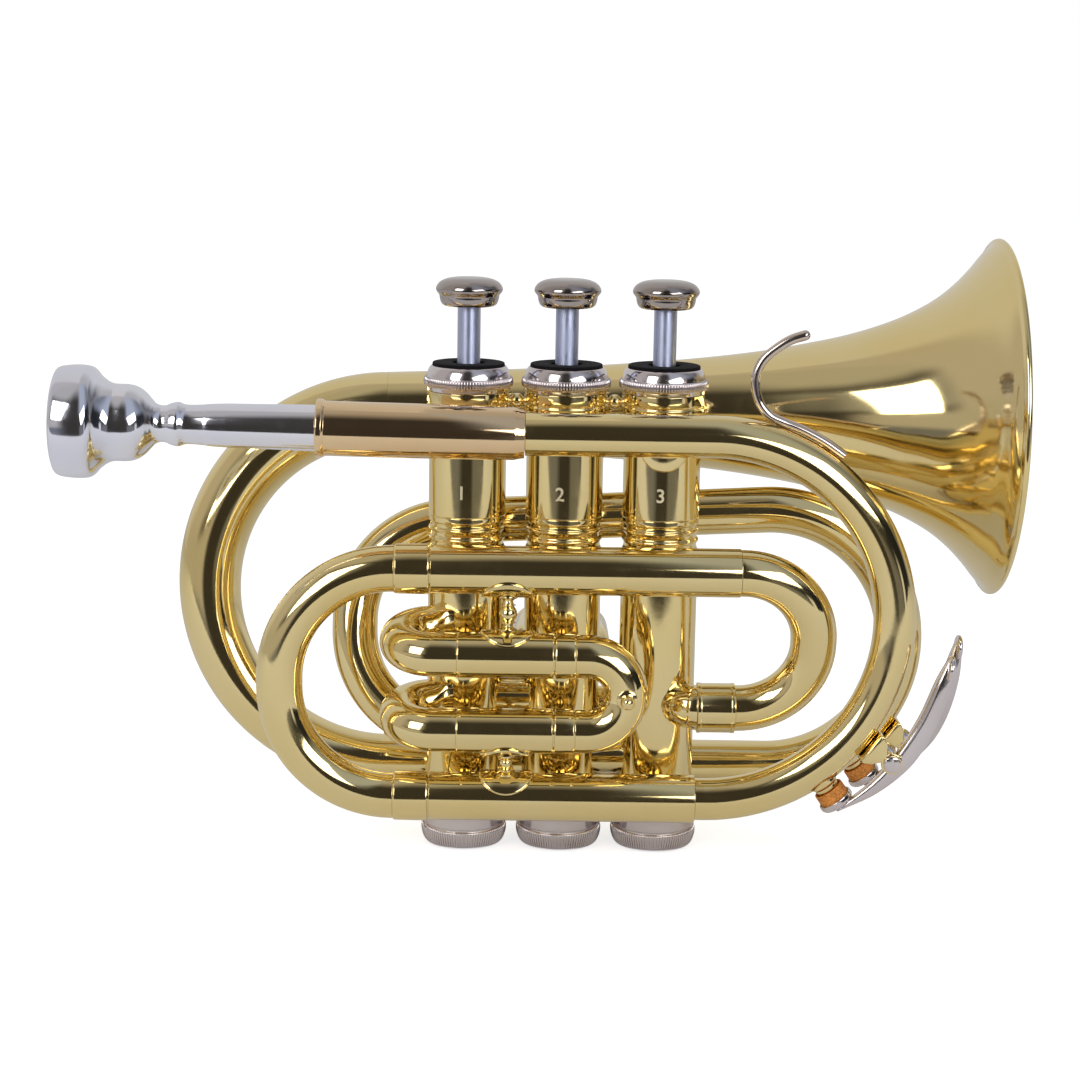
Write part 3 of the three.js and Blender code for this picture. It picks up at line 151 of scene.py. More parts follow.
KEY_WIDTHS = (1.3, 1.5, 1.7, 1.9, 2.1, 2.1, 1.3)
KEY_OUTER_SHARES = (
    (-0.02, 1.14), (0.166, 1.49), (0.315, 1.71), (0.438, 1.82), (0.6, 1.8), (0.8, 1.73), (0.97, 1.66),
)


# ---------------------------------------------------------------- shapes


class Route:
    """The line that a tube follows: straight runs joined by round bends."""

    def __init__(self, corners, bends=()):
        corners = [Vector(corner) for corner in corners]
        self.runs = []
        self.length = 0.0
        here = corners[0]
        for index in range(1, len(corners) - 1):
            before = (corners[index] - corners[index - 1]).normalized()
            after = (corners[index + 1] - corners[index]).normalized()
            turn = before.angle(after)
            bend = bends[index - 1]
            start = corners[index] - before * bend * math.tan(turn / 2)
            inward = (after - before * after.dot(before)).normalized()
            self._straight(here, start)
            self.runs.append({
                "from": self.length, "length": bend * turn, "centre": start + inward * bend,
                "spoke": -inward * bend, "hinge": before.cross(after).normalized(),
                "along": before, "turn": turn,
            })
            self.length += bend * turn
            here = start + inward * bend + Matrix.Rotation(turn, 3, self.runs[-1]["hinge"]) @ (-inward * bend)
        self._straight(here, corners[-1])
        first = self.runs[0]["along"]
        side = first.cross(Vector((0, 0, 1)) if abs(first.z) < 0.7 else Vector((1, 0, 0))).normalized()
        for run in self.runs:
            run["side"] = side.copy()
            if run["turn"]:
                side = Matrix.Rotation(run["turn"], 3, run["hinge"]) @ side

    def _straight(self, start, end):
        span = end - start
        if span.length > 1e-4:
            self.runs.append({
                "from": self.length, "length": span.length, "start": start.copy(),
                "along": span.normalized(), "turn": 0.0,
            })
            self.length += span.length

    def at(self, travel):
        """The place, direction and side at a travel; past an end it goes straight on."""
        run = self.runs[0]
        for candidate in self.runs:
            if travel >= candidate["from"]:
                run = candidate
        past = travel - run["from"]
        if not run["turn"]:
            return run["start"] + run["along"] * past, run["along"], run["side"]
        turn = min(max(past / run["length"], 0.0), 1.0) * run["turn"]
        turned = Matrix.Rotation(turn, 3, run["hinge"])
        along = turned @ run["along"]
        over = past - min(max(past, 0.0), run["length"])
        return run["centre"] + turned @ run["spoke"] + along * over, along, turned @ run["side"]

    def cuts(self, low, high, step):
        """The travels between two travels at which a bend needs a ring of its own."""
        found = []
        for run in self.runs:
            if not run["turn"]:
                continue
            count = max(2, math.ceil(run["length"] / step))
            found += [run["from"] + run["length"] * i / count for i in range(count + 1)]
        return [travel for travel in found if low + 1e-3 < travel < high - 1e-3]


def straight(start, end):
    return Route([start, end])


def eased(loop, size, closed=True, steps=4):
    """Rounds the sharp corners of a profile."""
    made = []
    count = len(loop)
    for index, corner in enumerate(loop):
        here = Vector(corner)
        if not closed and index in (0, count - 1):
            made.append(tuple(here))
            continue
        before = Vector(loop[index - 1]) - here
        after = Vector(loop[(index + 1) % count]) - here
        if min(before.length, after.length) < 1e-6 or abs(before.angle(after) - math.pi) < 0.3:
            made.append(tuple(here))
            continue
        first = here + before.normalized() * min(size, before.length * 0.45)
        last = here + after.normalized() * min(size, after.length * 0.45)
        for step in range(steps + 1):
            share = step / steps
            spot = first * (1 - share) ** 2 + here * 2 * share * (1 - share) + last * share ** 2
            made.append(tuple(spot))
    return made


def flowing(points, steps):
    """A smooth line through the points, without overshoot, as a list of pairs."""
    points = [Vector(point) for point in points]
    count = len(points)
    made = []
    for index in range(count - 1):
        p0, p1, p2 = points[max(0, index - 1)], points[index], points[index + 1]
        p3 = points[min(count - 1, index + 2)]
        k0, k1 = math.sqrt((p1 - p0).length or 1), math.sqrt((p2 - p1).length or 1)
        k2 = math.sqrt((p3 - p2).length or 1)
        m1 = (p2 - p1) / k1 + ((p1 - p0) / k0 - (p2 - p0) / (k0 + k1) if index else Vector(p1) * 0)
        m2 = (p2 - p1) / k1 + ((p3 - p2) / k2 - (p3 - p1) / (k1 + k2) if index < count - 2 else Vector(p1) * 0)
        for step in range(steps):
            u = step / steps
            made.append(tuple(
                p1 * (2 * u ** 3 - 3 * u ** 2 + 1) + m1 * k1 * (u ** 3 - 2 * u ** 2 + u)
                + p2 * (3 * u ** 2 - 2 * u ** 3) + m2 * k1 * (u ** 3 - u ** 2)
            ))
    made.append(tuple(points[-1]))
    return made


def ring_faces(rings, sides, closed=False):
    """The faces between rings of vertices, and from the last ring to the first where the body closes."""
    return [
        (ring * sides + k, ring * sides + (k + 1) % sides,
         (ring + 1) % rings * sides + (k + 1) % sides, (ring + 1) % rings * sides + k)
        for ring in range(rings if closed else rings - 1) for k in range(sides)
    ]


class Shape:
    """Vertices and faces in millimetres that become one mesh."""

    def __init__(self):
        self.vertices = []
        self.faces = []

    def add(self, vertices, faces):
        base = len(self.vertices)
        self.vertices += [tuple(vertex) for vertex in vertices]
        self.faces += [tuple(base + corner for corner in face) for face in faces]
        return self

    def sweep(self, route, loop, sides=56, closed=True, step=1.4):
        """Carries a profile of (travel, radius) pairs along a route."""
        rings = []
        pairs = list(zip(loop, loop[1:] + loop[:1])) if closed else list(zip(loop, loop[1:]))
        for (travel, radius), (onward, wider) in pairs:
            rings.append((travel, radius))
            low, high = min(travel, onward), max(travel, onward)
            between = route.cuts(low, high, step)
            if onward < travel:
                between.reverse()
            for cut in between:
                share = (cut - travel) / (onward - travel)
                rings.append((cut, radius + (wider - radius) * share))
        if not closed:
            rings.append(loop[-1])
        vertices = []
        for travel, radius in rings:
            spot, along, side = route.at(travel)
            other = along.cross(side)
            for k in range(sides):
                angle = 2 * math.pi * k / sides
                vertices.append(spot + side * radius * math.cos(angle) + other * radius * math.sin(angle))
        return self.add(vertices, ring_faces(len(rings), sides, closed))

    def tube(self, route, outer, bore, ease=0.12, sides=56, step=1.4):
        """A tube with an outside profile of (travel, radius) pairs and a bore that is a number or pairs."""
        inner = bore if isinstance(bore, (list, tuple)) else [(outer[0][0], bore), (outer[-1][0], bore)]
        return self.sweep(route, eased(list(outer) + list(reversed(inner)), ease), sides, True, step)

    def pipe(self, route, radius, ease=0.1, step=1.4):
        """A tube of one radius along the whole of a route."""
        wall, sides, _ = drawn_sizes()
        return self.tube(route, [(0, radius), (route.length, radius)], radius - wall, ease, sides, step)

    def bar(self, route, outer, ease=0.12, sides=40, step=1.4):
        """A solid body along a route, closed at both ends."""
        loop = [(outer[0][0], 0.0)] + list(outer) + [(outer[-1][0], 0.0)]
        return self.sweep(route, eased(loop, ease, closed=False), sides, False, step)

    def seat(self, axis_x, along, radius=CASING_RADIUS - 0.05):
        """Trims a tube to the outside of a casing that it runs into, and draws in what would pass it by."""
        for index, (x, y, z) in enumerate(self.vertices):
            place = Vector((x - axis_x, y))
            run, aside = place.dot(along), place.dot((-along[1], along[0]))
            if abs(aside) > 13.6 or run > 9:
                continue
            near = min(max((8.6 - run) / 5.6, 0.0), 1.0)
            limit = radius - 0.35
            if abs(aside) > limit:
                aside += (math.copysign(limit, aside) - aside) * near * near * (3 - 2 * near)
            run = max(run, math.sqrt(max(radius * radius - aside * aside, 0.0)))
            self.vertices[index] = (
                axis_x + along[0] * run - along[1] * aside, along[1] * run + along[0] * aside, z)
        return self

    def loft(self, sections, sides=32):
        """Skins sections of (centre, half height, half width), each a direction and a length, ends closed."""
        vertices = []
        for centre, rise, aside in sections:
            for k in range(sides):
                angle = 2 * math.pi * k / sides
                c, w = math.cos(angle), math.sin(angle)
                c = math.copysign(abs(c) ** 0.62, c)
                w = math.copysign(abs(w) ** 0.62, w)
                vertices.append(centre + rise * c + aside * w)
        last = (len(sections) - 1) * sides
        ends = [tuple(range(sides)), tuple(range(last, last + sides))]
        self.add(vertices, ring_faces(len(sections), sides) + ends)

    def take(self, block):
        """Adds what a bmesh holds, and frees it."""
        block.verts.index_update()
        self.add([v.co.copy() for v in block.verts], [[v.index for v in f.verts] for f in block.faces])
        block.free()

    def box(self, centre, size, turn=None, ease=0.2):
        """A block with its edges eased."""
        block = bmesh.new()
        bmesh.ops.create_cube(block, size=1.0)
        for vertex in block.verts:
            vertex.co = Vector(vertex.co[i] * size[i] for i in range(3))
        bmesh.ops.bevel(block, geom=block.edges[:], offset=ease, segments=3, profile=0.5, affect="EDGES")
        place = Matrix.Translation(Vector(centre)) @ (turn.to_4x4() if turn else Matrix.Identity(4))
        block.transform(place)
        self.take(block)

    def slab(self, outline, middle, width, ease=0.25):
        """A plate cut to an outline in the XZ plane, with its rims eased."""
        block = bmesh.new()
        low = [block.verts.new((x, middle - width / 2, z)) for x, z in outline]
        block.faces.new(low)
        made = bmesh.ops.extrude_face_region(block, geom=block.faces[:])
        moved = [part for part in made["geom"] if isinstance(part, bmesh.types.BMVert)]
        bmesh.ops.translate(block, verts=moved, vec=(0, width, 0))
        rims = [e for e in block.edges if abs(e.verts[0].co.y - e.verts[1].co.y) < 1e-6]
        bmesh.ops.bevel(block, geom=rims, offset=ease, segments=3, profile=0.5, affect="EDGES")
        bmesh.ops.recalc_face_normals(block, faces=block.faces[:])
        self.take(block)

    def mesh(self, name, sharp=38.0):
        """The mesh in metres, doubles merged, faces outward, smooth but for its real edges."""
        data = bpy.data.meshes.new(name)
        data.from_pydata([Vector(v) * MM for v in self.vertices], [], self.faces)
        work = bmesh.new()
        work.from_mesh(data)
        bmesh.ops.remove_doubles(work, verts=work.verts[:], dist=2e-6)
        bmesh.ops.dissolve_degenerate(work, edges=work.edges[:], dist=1e-7)
        bmesh.ops.recalc_face_normals(work, faces=work.faces[:])
        work.to_mesh(data)
        work.free()
        data.shade_smooth()
        data.set_sharp_from_angle(angle=math.radians(sharp))
        return data


def linked(name, data):
    """A new object in the scene."""
    made = bpy.data.objects.new(name, data)
    bpy.context.scene.collection.objects.link(made)
    return made


def plain_mesh(holder):
    """The mesh that an object's text or modifier makes; the object itself goes."""
    graph = bpy.context.evaluated_depsgraph_get()
    data = bpy.data.meshes.new_from_object(holder.evaluated_get(graph), depsgraph=graph)
    holder.modifiers.clear()
    bpy.data.objects.remove(holder)
    return data


def lay(name, data, finish, body="instrument", nodes=()):
    """Puts a finished mesh in the scene: its material, the body it rides on and the nodes it stands for."""
    piece = linked(name, data)
    data.materials.clear()
    data.materials.append(bpy.data.materials[finish])
    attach(piece, body)
    if nodes:
        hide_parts(*nodes)
    return piece


def dress(shape, node, finish="lacquered_brass", body="instrument", sharp=38.0):
    """Lays a shape that stands for the node of its name."""
    return lay(f"{node}_finished", shape.mesh(node, sharp), finish, body, [node])


def drawn_sizes():
    """The wall, the facets and the seam of the drawn tubes."""
    tubing = bpy.context.scene.trumpet_tubing
    return tubing.wall / MM, tubing.sides, tubing.seam / MM


def along_receiver(x):
    """A place on the receiver's axis, which rises a little toward the player."""
    run = x - RECEIVER_END
    rise = run * math.sin(RECEIVER_TILT)
    return Vector((RECEIVER_END + run * math.cos(RECEIVER_TILT), FRONT_PLANE, LEADPIPE_HEIGHT - rise))


class Bow:
    """A round bow in the XZ plane that carries a water key."""

    def __init__(self, centre, bend, tube, tip):
        self.centre, self.bend, self.tube, self.tip = Vector(centre), bend, tube, tip

    def over(self, degrees, height, aside=0.0):
        angle = math.radians(degrees)
        reach = self.bend + self.tube + height
        return self.centre + Vector((reach * math.cos(angle), aside, reach * math.sin(angle)))


FRONT_BOW = Bow((36.3, FRONT_PLANE, 64.0), FRONT_BOW_RADIUS, LEADPIPE_RADIUS, -7.0)
REAR_BOW = Bow((54.9, REAR_PLANE, 51.2), REAR_BOW_RADIUS, 6.1, 2.0)


# ---------------------------------------------------------------- node trees


class Number:
    """A socket that takes part in sums, each of which adds a Math node."""

    def __init__(self, graph, socket):
        self.graph, self.socket = graph, socket

    def _sum(self, operation, first, second):
        node = self.graph.add("ShaderNodeMath", {"operation": operation}, {0: first, 1: second})
        return Number(self.graph, node.outputs[0])

    def __add__(self, other):
        return self._sum("ADD", self, other)

    __radd__ = __add__

    def __rsub__(self, other):
        return self._sum("SUBTRACT", other, self)

    def __mul__(self, other):
        return self._sum("MULTIPLY", self, other)


class Graph:
    """A node tree that is filled one node at a time."""

    def __init__(self, tree):
        self.tree = tree
        tree.nodes.clear()

    def add(self, kind, settings=None, sockets=None):
        """Adds a node: its settings first, then values or links into its sockets."""
        node = self.tree.nodes.new(kind)
        for key, value in (settings or {}).items():
            setattr(node, key, value)
        for key, value in (sockets or {}).items():
            if isinstance(value, Number):
                value = value.socket
            if isinstance(value, bpy.types.NodeSocket):
                self.tree.links.new(value, node.inputs[key])
            else:
                node.inputs[key].default_value = value
        return node

    def number(self, node, output=0):
        return Number(self, node.outputs[output])

    def spread(self, value, low, high):
        """A value eased from 0 at one bound to 1 at the other."""
        return self.number(self.add(
            "ShaderNodeMapRange", {"interpolation_type": "SMOOTHSTEP"},
            {"Value": value, "From Min": low, "From Max": high},
        ))

    def blend(self, share, first, second):
        """A colour between two others."""
        node = self.add("ShaderNodeMix", {"data_type": "RGBA"}, {"Factor": share, 6: first, 7: second})
        return node.outputs[2]

    def place(self):
        return self.add("ShaderNodeTexCoord").outputs["Object"]

    def noise(self, place, scale, detail, distortion=0.0):
        """Clouds of a given fineness."""
        return self.number(self.add("ShaderNodeTexNoise", None, {
            "Vector": place, "Scale": scale, "Detail": detail, "Distortion": distortion,
        }))

    def surface(self, height, strength, depth, sockets):
        """The outside of a material: its sockets, its relief and the output."""
        bump = self.add("ShaderNodeBump", None, {"Strength": strength, "Distance": depth, "Height": height})
        body = self.add("ShaderNodeBsdfPrincipled", None, {**sockets, "Normal": bump.outputs[0]})
        self.add("ShaderNodeOutputMaterial", None, {"Surface": body.outputs[0]})

    def deliver(self, geometry, given, turn=(0, 0, 0)):
        """The end of a geometry tree: plain mesh, in its place, with its material."""
        plain = self.add("GeometryNodeRealizeInstances", None, {"Geometry": geometry.outputs[0]})
        placed = self.add("GeometryNodeTransform", None, {
            "Geometry": plain.outputs[0], "Translation": given["Place"], "Rotation": turn,
        })
        dressed = self.add("GeometryNodeSetMaterial", None, {
            "Geometry": placed.outputs[0], "Material": given["Finish"],
        })
        self.add("NodeGroupOutput", None, {0: dressed.outputs[0]})


def new_material(name):
    made = bpy.data.materials.new(name)
    made.use_nodes = True
    return made, Graph(made.node_tree)


def metal(name, colour, deep, roughness, wear, lacquer=0.0, grain=(1.0, 1.0, 1.0), sparkle=0.0):
    """A polished metal: a clouded tint, faint polishing lines, smears that dull it, and a coat of lacquer."""
    graph = new_material(name)[1]
    place = graph.place()
    clouds, smears = graph.noise(place, 38.0, 4.0), graph.noise(place, 120.0, 6.0, 0.8)
    turned = graph.add("ShaderNodeMapping", None, {"Vector": place, "Scale": grain})
    lines = graph.noise(turned.outputs[0], 900.0, 3.0)
    dulled = graph.spread(smears, 0.45, 0.72) * (roughness * 0.5) + lines * (roughness * 0.25) + roughness
    graph.surface(lines + smears * 0.6, 0.08 + sparkle, 0.00003, {
        "Base Color": graph.blend(graph.spread(clouds, 0.35, 0.75) * wear, (*colour, 1), (*deep, 1)),
        "Metallic": 1.0, "Roughness": dulled, "Coat Weight": lacquer, "Coat Roughness": 0.04, "Coat IOR": 1.5,
    })


def felt_material(name, colour):
    """Pressed wool: matted fibres, small pits and a soft sheen."""
    graph = new_material(name)[1]
    place = graph.place()
    fibres, mats = graph.noise(place, 1600.0, 8.0, 2.0), graph.noise(place, 260.0, 3.0)
    pale = tuple(channel * 2.0 + 0.003 for channel in colour)
    graph.surface(fibres + mats * 0.5, 0.7, 0.0002, {
        "Base Color": graph.blend(graph.spread(fibres, 0.4, 0.75), (*colour, 1), (*pale, 1)),
        "Roughness": 0.88 + mats * 0.1, "Sheen Weight": 0.02, "Sheen Roughness": 0.6, "Specular IOR Level": 0.2,
    })


def cork_material(name, colour):
    """Natural cork: pale grains with dark seams and pores."""
    graph = new_material(name)[1]
    place = graph.place()
    grains = graph.add("ShaderNodeTexVoronoi", {"feature": "DISTANCE_TO_EDGE"}, {"Vector": place, "Scale": 900.0})
    seams = graph.spread(graph.number(grains), 0.0, 0.09)
    clouds = graph.noise(place, 420.0, 5.0)
    dark = tuple(channel * 0.35 for channel in colour)
    light = tuple(min(1.0, channel * 1.35) for channel in colour)
    body = graph.blend(graph.spread(clouds, 0.35, 0.7), (*colour, 1), (*light, 1))
    graph.surface(seams + clouds * 0.6, 0.5, 0.0002, {
        "Base Color": graph.blend(seams * 0.6 + 0.4, (*dark, 1), body), "Roughness": 0.62 + clouds * 0.2,
    })


def shaped_by_nodes(name, tree, values, finish):
    """Runs a geometry tree on an empty mesh and keeps the plain, smooth mesh that it makes."""
    holder = linked(name, bpy.data.meshes.new(name))
    modifier = holder.modifiers.new("shape", "NODES")
    modifier.node_group = tree
    values = {**values, "Finish": bpy.data.materials[finish]}
    for socket in tree.interface.items_tree:
        if socket.name in values:
            modifier[socket.identifier] = values[socket.name]
    data = plain_mesh(holder)
    data.name = name
    data.shade_smooth()
    return data


def new_tree(name, inputs):
    """A geometry tree with named inputs; gives the tree, its graph and its inputs' sockets."""
    tree = bpy.data.node_groups.new(name, "GeometryNodeTree")
    graph = Graph(tree)
    inputs = (*inputs, ("Place", "Vector", (0, 0, 0)), ("Finish", "Material", None))
    for title, kind, default in inputs:
        socket = tree.interface.new_socket(name=title, in_out="INPUT", socket_type=f"NodeSocket{kind}")
        if default is not None:
            socket.default_value = default
    tree.interface.new_socket(name="Geometry", in_out="OUTPUT", socket_type="NodeSocketGeometry")
    return tree, graph, graph.add("NodeGroupInput").outputs


def knurl_tree():
    """Ridges stood side by side round a cap, each a long rounded grain that may lean inward."""
    tree, graph, given = new_tree("knurled_ring", (
        ("Ridges", "Int", 90), ("Radius", "Float", 0.011), ("Ridge Size", "Vector", (0.001, 0.0005, 0.002)),
        ("Lean", "Vector", (0, 0, 0)),
    ))
    ring = graph.add("GeometryNodeMeshCircle", None, {"Vertices": given["Ridges"], "Radius": given["Radius"]})
    grain = graph.add("GeometryNodeMeshUVSphere", None, {"Segments": 8, "Rings": 8, "Radius": 0.5})
    edge_on = graph.add("GeometryNodeTransform", None, {
        "Geometry": grain.outputs[0], "Scale": given["Ridge Size"], "Rotation": given["Lean"],
    })
    spot = graph.add("GeometryNodeInputPosition")
    outward = graph.add("FunctionNodeAlignRotationToVector", {"axis": "X"}, {"Vector": spot.outputs[0]})
    graph.deliver(graph.add("GeometryNodeInstanceOnPoints", None, {
        "Points": ring.outputs[0], "Instance": edge_on.outputs[0], "Rotation": outward.outputs[0],
    }), given)
    return tree


def coil_tree():
    """A wound spring: wire swept round a spiral, with its ends closed."""
    tree, graph, given = new_tree("wound_spring", (
        ("Turns", "Float", 8.0), ("Radius", "Float", 0.005), ("Wire", "Float", 0.0004), ("Length", "Float", 0.02),
        ("Turn", "Vector", (0, 0, 0)),
    ))
    line = graph.add("GeometryNodeCurveSpiral", None, {
        "Resolution": 32, "Rotations": given["Turns"], "Start Radius": given["Radius"],
        "End Radius": given["Radius"], "Height": given["Length"],
    })
    section = graph.add("GeometryNodeCurvePrimitiveCircle", None, {"Resolution": 10, "Radius": given["Wire"]})
    graph.deliver(graph.add("GeometryNodeCurveToMesh", None, {
        "Curve": line.outputs[0], "Profile Curve": section.outputs[0], "Fill Caps": True,
    }), given, given["Turn"])
    return tree


# ---------------------------------------------------------------- settings


def length(title, words, default):
    return bpy.props.FloatProperty(name=title, description=words, default=default, unit="LENGTH")


def colour(title, words, default):
    return bpy.props.FloatVectorProperty(name=title, description=words, subtype="COLOR", default=default)


class TubingSettings(bpy.types.PropertyGroup):
    wall: length("Tube wall", "Wall of the drawn tubes", 0.0007)
    seam: length("Seam", "Gap that shows as a line where two tubes meet", 0.00009)
    sides: bpy.props.IntProperty(
        name="Sides", description="Facets round each tube", default=64, min=16, max=128)
    bell_sides: bpy.props.IntProperty(
        name="Bell sides", description="Facets round the bell", default=176, min=48, max=256)


class ValveSettings(bpy.types.PropertyGroup):
    ridges: bpy.props.IntProperty(
        name="Knurl ridges", description="Ridges round each cap", default=96, min=24, max=160)
    groove_depth: length("Groove depth", "Depth of the turned grooves in a casing", 0.00045)
    spring_turns: bpy.props.FloatProperty(
        name="Spring turns", description="Turns of each valve's spring", default=8.0)
    number_size: length("Number size", "Height of the number on each casing", 0.0036)


class FinishSettings(bpy.types.PropertyGroup):
    brass: colour("Brass", "Lacquered brass", (0.87, 0.71, 0.36))
    red_brass: colour("Red brass", "Redder brass of the receiver", (0.87, 0.65, 0.39))
    nickel: colour("Nickel", "Nickel plate", (0.76, 0.7, 0.71))
    silver: colour("Silver", "Silver plate of the mouthpiece", (0.88, 0.88, 0.94))
    steel: colour("Steel", "Satin steel of the stems", (0.52, 0.56, 0.74))
    felt: colour("Felt", "Felt rings", (0.004, 0.003, 0.004))
    cork: colour("Cork", "Water key corks", (0.62, 0.23, 0.04))
    gloss: bpy.props.FloatProperty(
        name="Brass roughness", description="Roughness of the lacquered brass", default=0.07, min=0, max=1)


class StudioSettings(bpy.types.PropertyGroup):
    lamp_power: bpy.props.FloatProperty(
        name="Lamp power", description="Power of each front lamp", default=6.4, unit="POWER")
    surround: bpy.props.FloatProperty(
        name="Surround", description="Brightness of the pale walls that the metal shows", default=0.62)
    dark: bpy.props.FloatProperty(
        name="Dark side", description="Brightness of the room behind the camera", default=0.042)
    floor_front: length("Floor front", "How far the floor reaches toward the camera", 0.3)


# ---------------------------------------------------------------- operators


class TRUMPET_OT_finishes(bpy.types.Operator):
    """Make the metals, felt and cork, and give the carried-over nodes theirs"""

    bl_idname = "trumpet.finishes"
    bl_label = "Finishes"

    def execute(self, context):
        finish = context.scene.trumpet_finish
        metal("lacquered_brass", finish.brass, (0.82, 0.63, 0.22), finish.gloss, 0.35, 0.2)
        metal("rosy_brass", finish.red_brass, (0.78, 0.45, 0.2), finish.gloss, 0.3, 0.25)
        metal("nickel_plate", finish.nickel, (0.55, 0.48, 0.46), 0.11, 0.45)
        # A copy of the nickel plate darkened well below the plate's own colour: painted shade standing in for the dark
        # reflections on the finger buttons.
        metal("warm_nickel", (0.46, 0.41, 0.39), (0.34, 0.29, 0.27), 0.09, 0.4)
        metal("hook_nickel", (0.72, 0.62, 0.55), (0.6, 0.48, 0.4), 0.1, 0.45)
        metal("silver_plate", finish.silver, (0.72, 0.76, 0.92), 0.09, 0.5)
        metal("satin_steel", finish.steel, (0.46, 0.5, 0.68), 0.3, 0.3, grain=(1.0, 1.0, 0.03))
        metal("engraved_brass", (0.95, 0.86, 0.62), (0.85, 0.7, 0.42), 0.42, 0.3, sparkle=0.3)
        felt_material("black_felt", finish.felt)
        cork_material("natural_cork", finish.cork)
        for number in CASING_X:
            for node, title in ((f"piston_{number}", "satin_steel"), (f"valve_guide_{number}", "lacquered_brass")):
                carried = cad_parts[node].data.materials
                carried.clear()
                carried.append(bpy.data.materials[title])
        return {"FINISHED"}


class TRUMPET_OT_casings(bpy.types.Operator):
    """Build the three valve casings, their grooves and bands, and the tubes that join them"""

    bl_idname = "trumpet.casings"
    bl_label = "Valve casings"

    def execute(self, context):
        valves = context.scene.trumpet_valves
        full, groove = CASING_RADIUS, CASING_RADIUS - valves.groove_depth / MM
        line, channel = CASING_RADIUS - 0.12, BAND_RADIUS - 0.2
        outer = [(2.0, full), (78.4, full)]
        for low in GROOVE_HEIGHTS:
            outer += [(low, groove), (low + 1.0, groove), (low + 1.4, full), (low + 1.9, full)]
        outer += [
            (86.8, full), (86.86, line), (86.98, line), (87.04, full), (112.6, full), (113.2, full + 0.35),
            (113.8, BAND_RADIUS), (114.9, BAND_RADIUS), (115.1, channel), (115.4, channel), (115.6, BAND_RADIUS),
            (118.35, BAND_RADIUS),
        ]
        for number, x in CASING_X.items():
            dress(Shape().tube(straight((x, 0, 0), (x, 0, 130)), outer, 8.5, 0.15, 96), f"valve_casing_{number}")
        lay("casing_joints_finished", self.joins().mesh("casing_joints"), "lacquered_brass",
            nodes=["valve_casing_2"])
        for number in CASING_X:
            self.engrave(number, valves.number_size / MM)
        return {"FINISHED"}

    def joins(self):
        """What is brazed to the middle casing: crossing tubes, ball braces and the second slide's tubes."""
        wall, sides, _ = drawn_sizes()
        joins = Shape()
        reach = VALVE_SPACING / 2 - 7.6
        for left, height in ((1, 39.3), (2, 24.4)):
            middle = CASING_X[left] + VALVE_SPACING / 2
            joins.pipe(straight((middle - reach, 0, height), (middle + reach, 0, height)), CROSSING_RADIUS)
        for hand in (-1, 1):
            start = Vector((hand * 9.6, 0, BALL_BRACE_HEIGHT))
            joins.bar(straight(start, start + Vector((hand * 5.4, 0, 0))), [
                (0, 1.7), (0.9, 1.7), (1.0, 1.0), (1.2, 1.0), (1.5, 1.5), (2.0, 1.85), (2.7, 1.95),
                (3.4, 1.85), (3.9, 1.5), (4.2, 1.0), (4.4, 1.0), (4.5, 1.7), (5.4, 1.7),
            ], 0.1, 32)
            across = hand * SECOND_SPREAD
            route = straight((across, 2.6, SECOND_HEIGHT), (across, 22.6, SECOND_HEIGHT))
            sleeve = Shape().tube(route, [(t, CROSSING_RADIUS) for t in (0, 1, 2, 3, 4, 5, 6, 20)],
                                  CROSSING_RADIUS - wall, 0.1, sides).seat(0, (0, 1))
            joins.add(sleeve.vertices, sleeve.faces)
        return joins

    def engrave(self, number, size):
        """Bends a plain number round the casing."""
        words = bpy.data.curves.new(f"number_{number}", "FONT")
        words.body, words.align_x, words.size = str(number), "CENTER", size * 1.35
        words.extrude, words.offset = 0.03, 0.06
        flat = plain_mesh(linked(f"number_{number}", words))
        axis, shift = CASING_X[number], NUMBER_SHIFTS[number - 1]
        for vertex in flat.vertices:
            angle = (vertex.co.x - shift) / CASING_RADIUS
            reach = CASING_RADIUS + 0.02 + vertex.co.z
            height = NUMBER_HEIGHT + vertex.co.y
            vertex.co = Vector((axis + reach * math.sin(angle), -reach * math.cos(angle), height)) * MM
        lay(f"casing_number_{number}", flat, "engraved_brass")


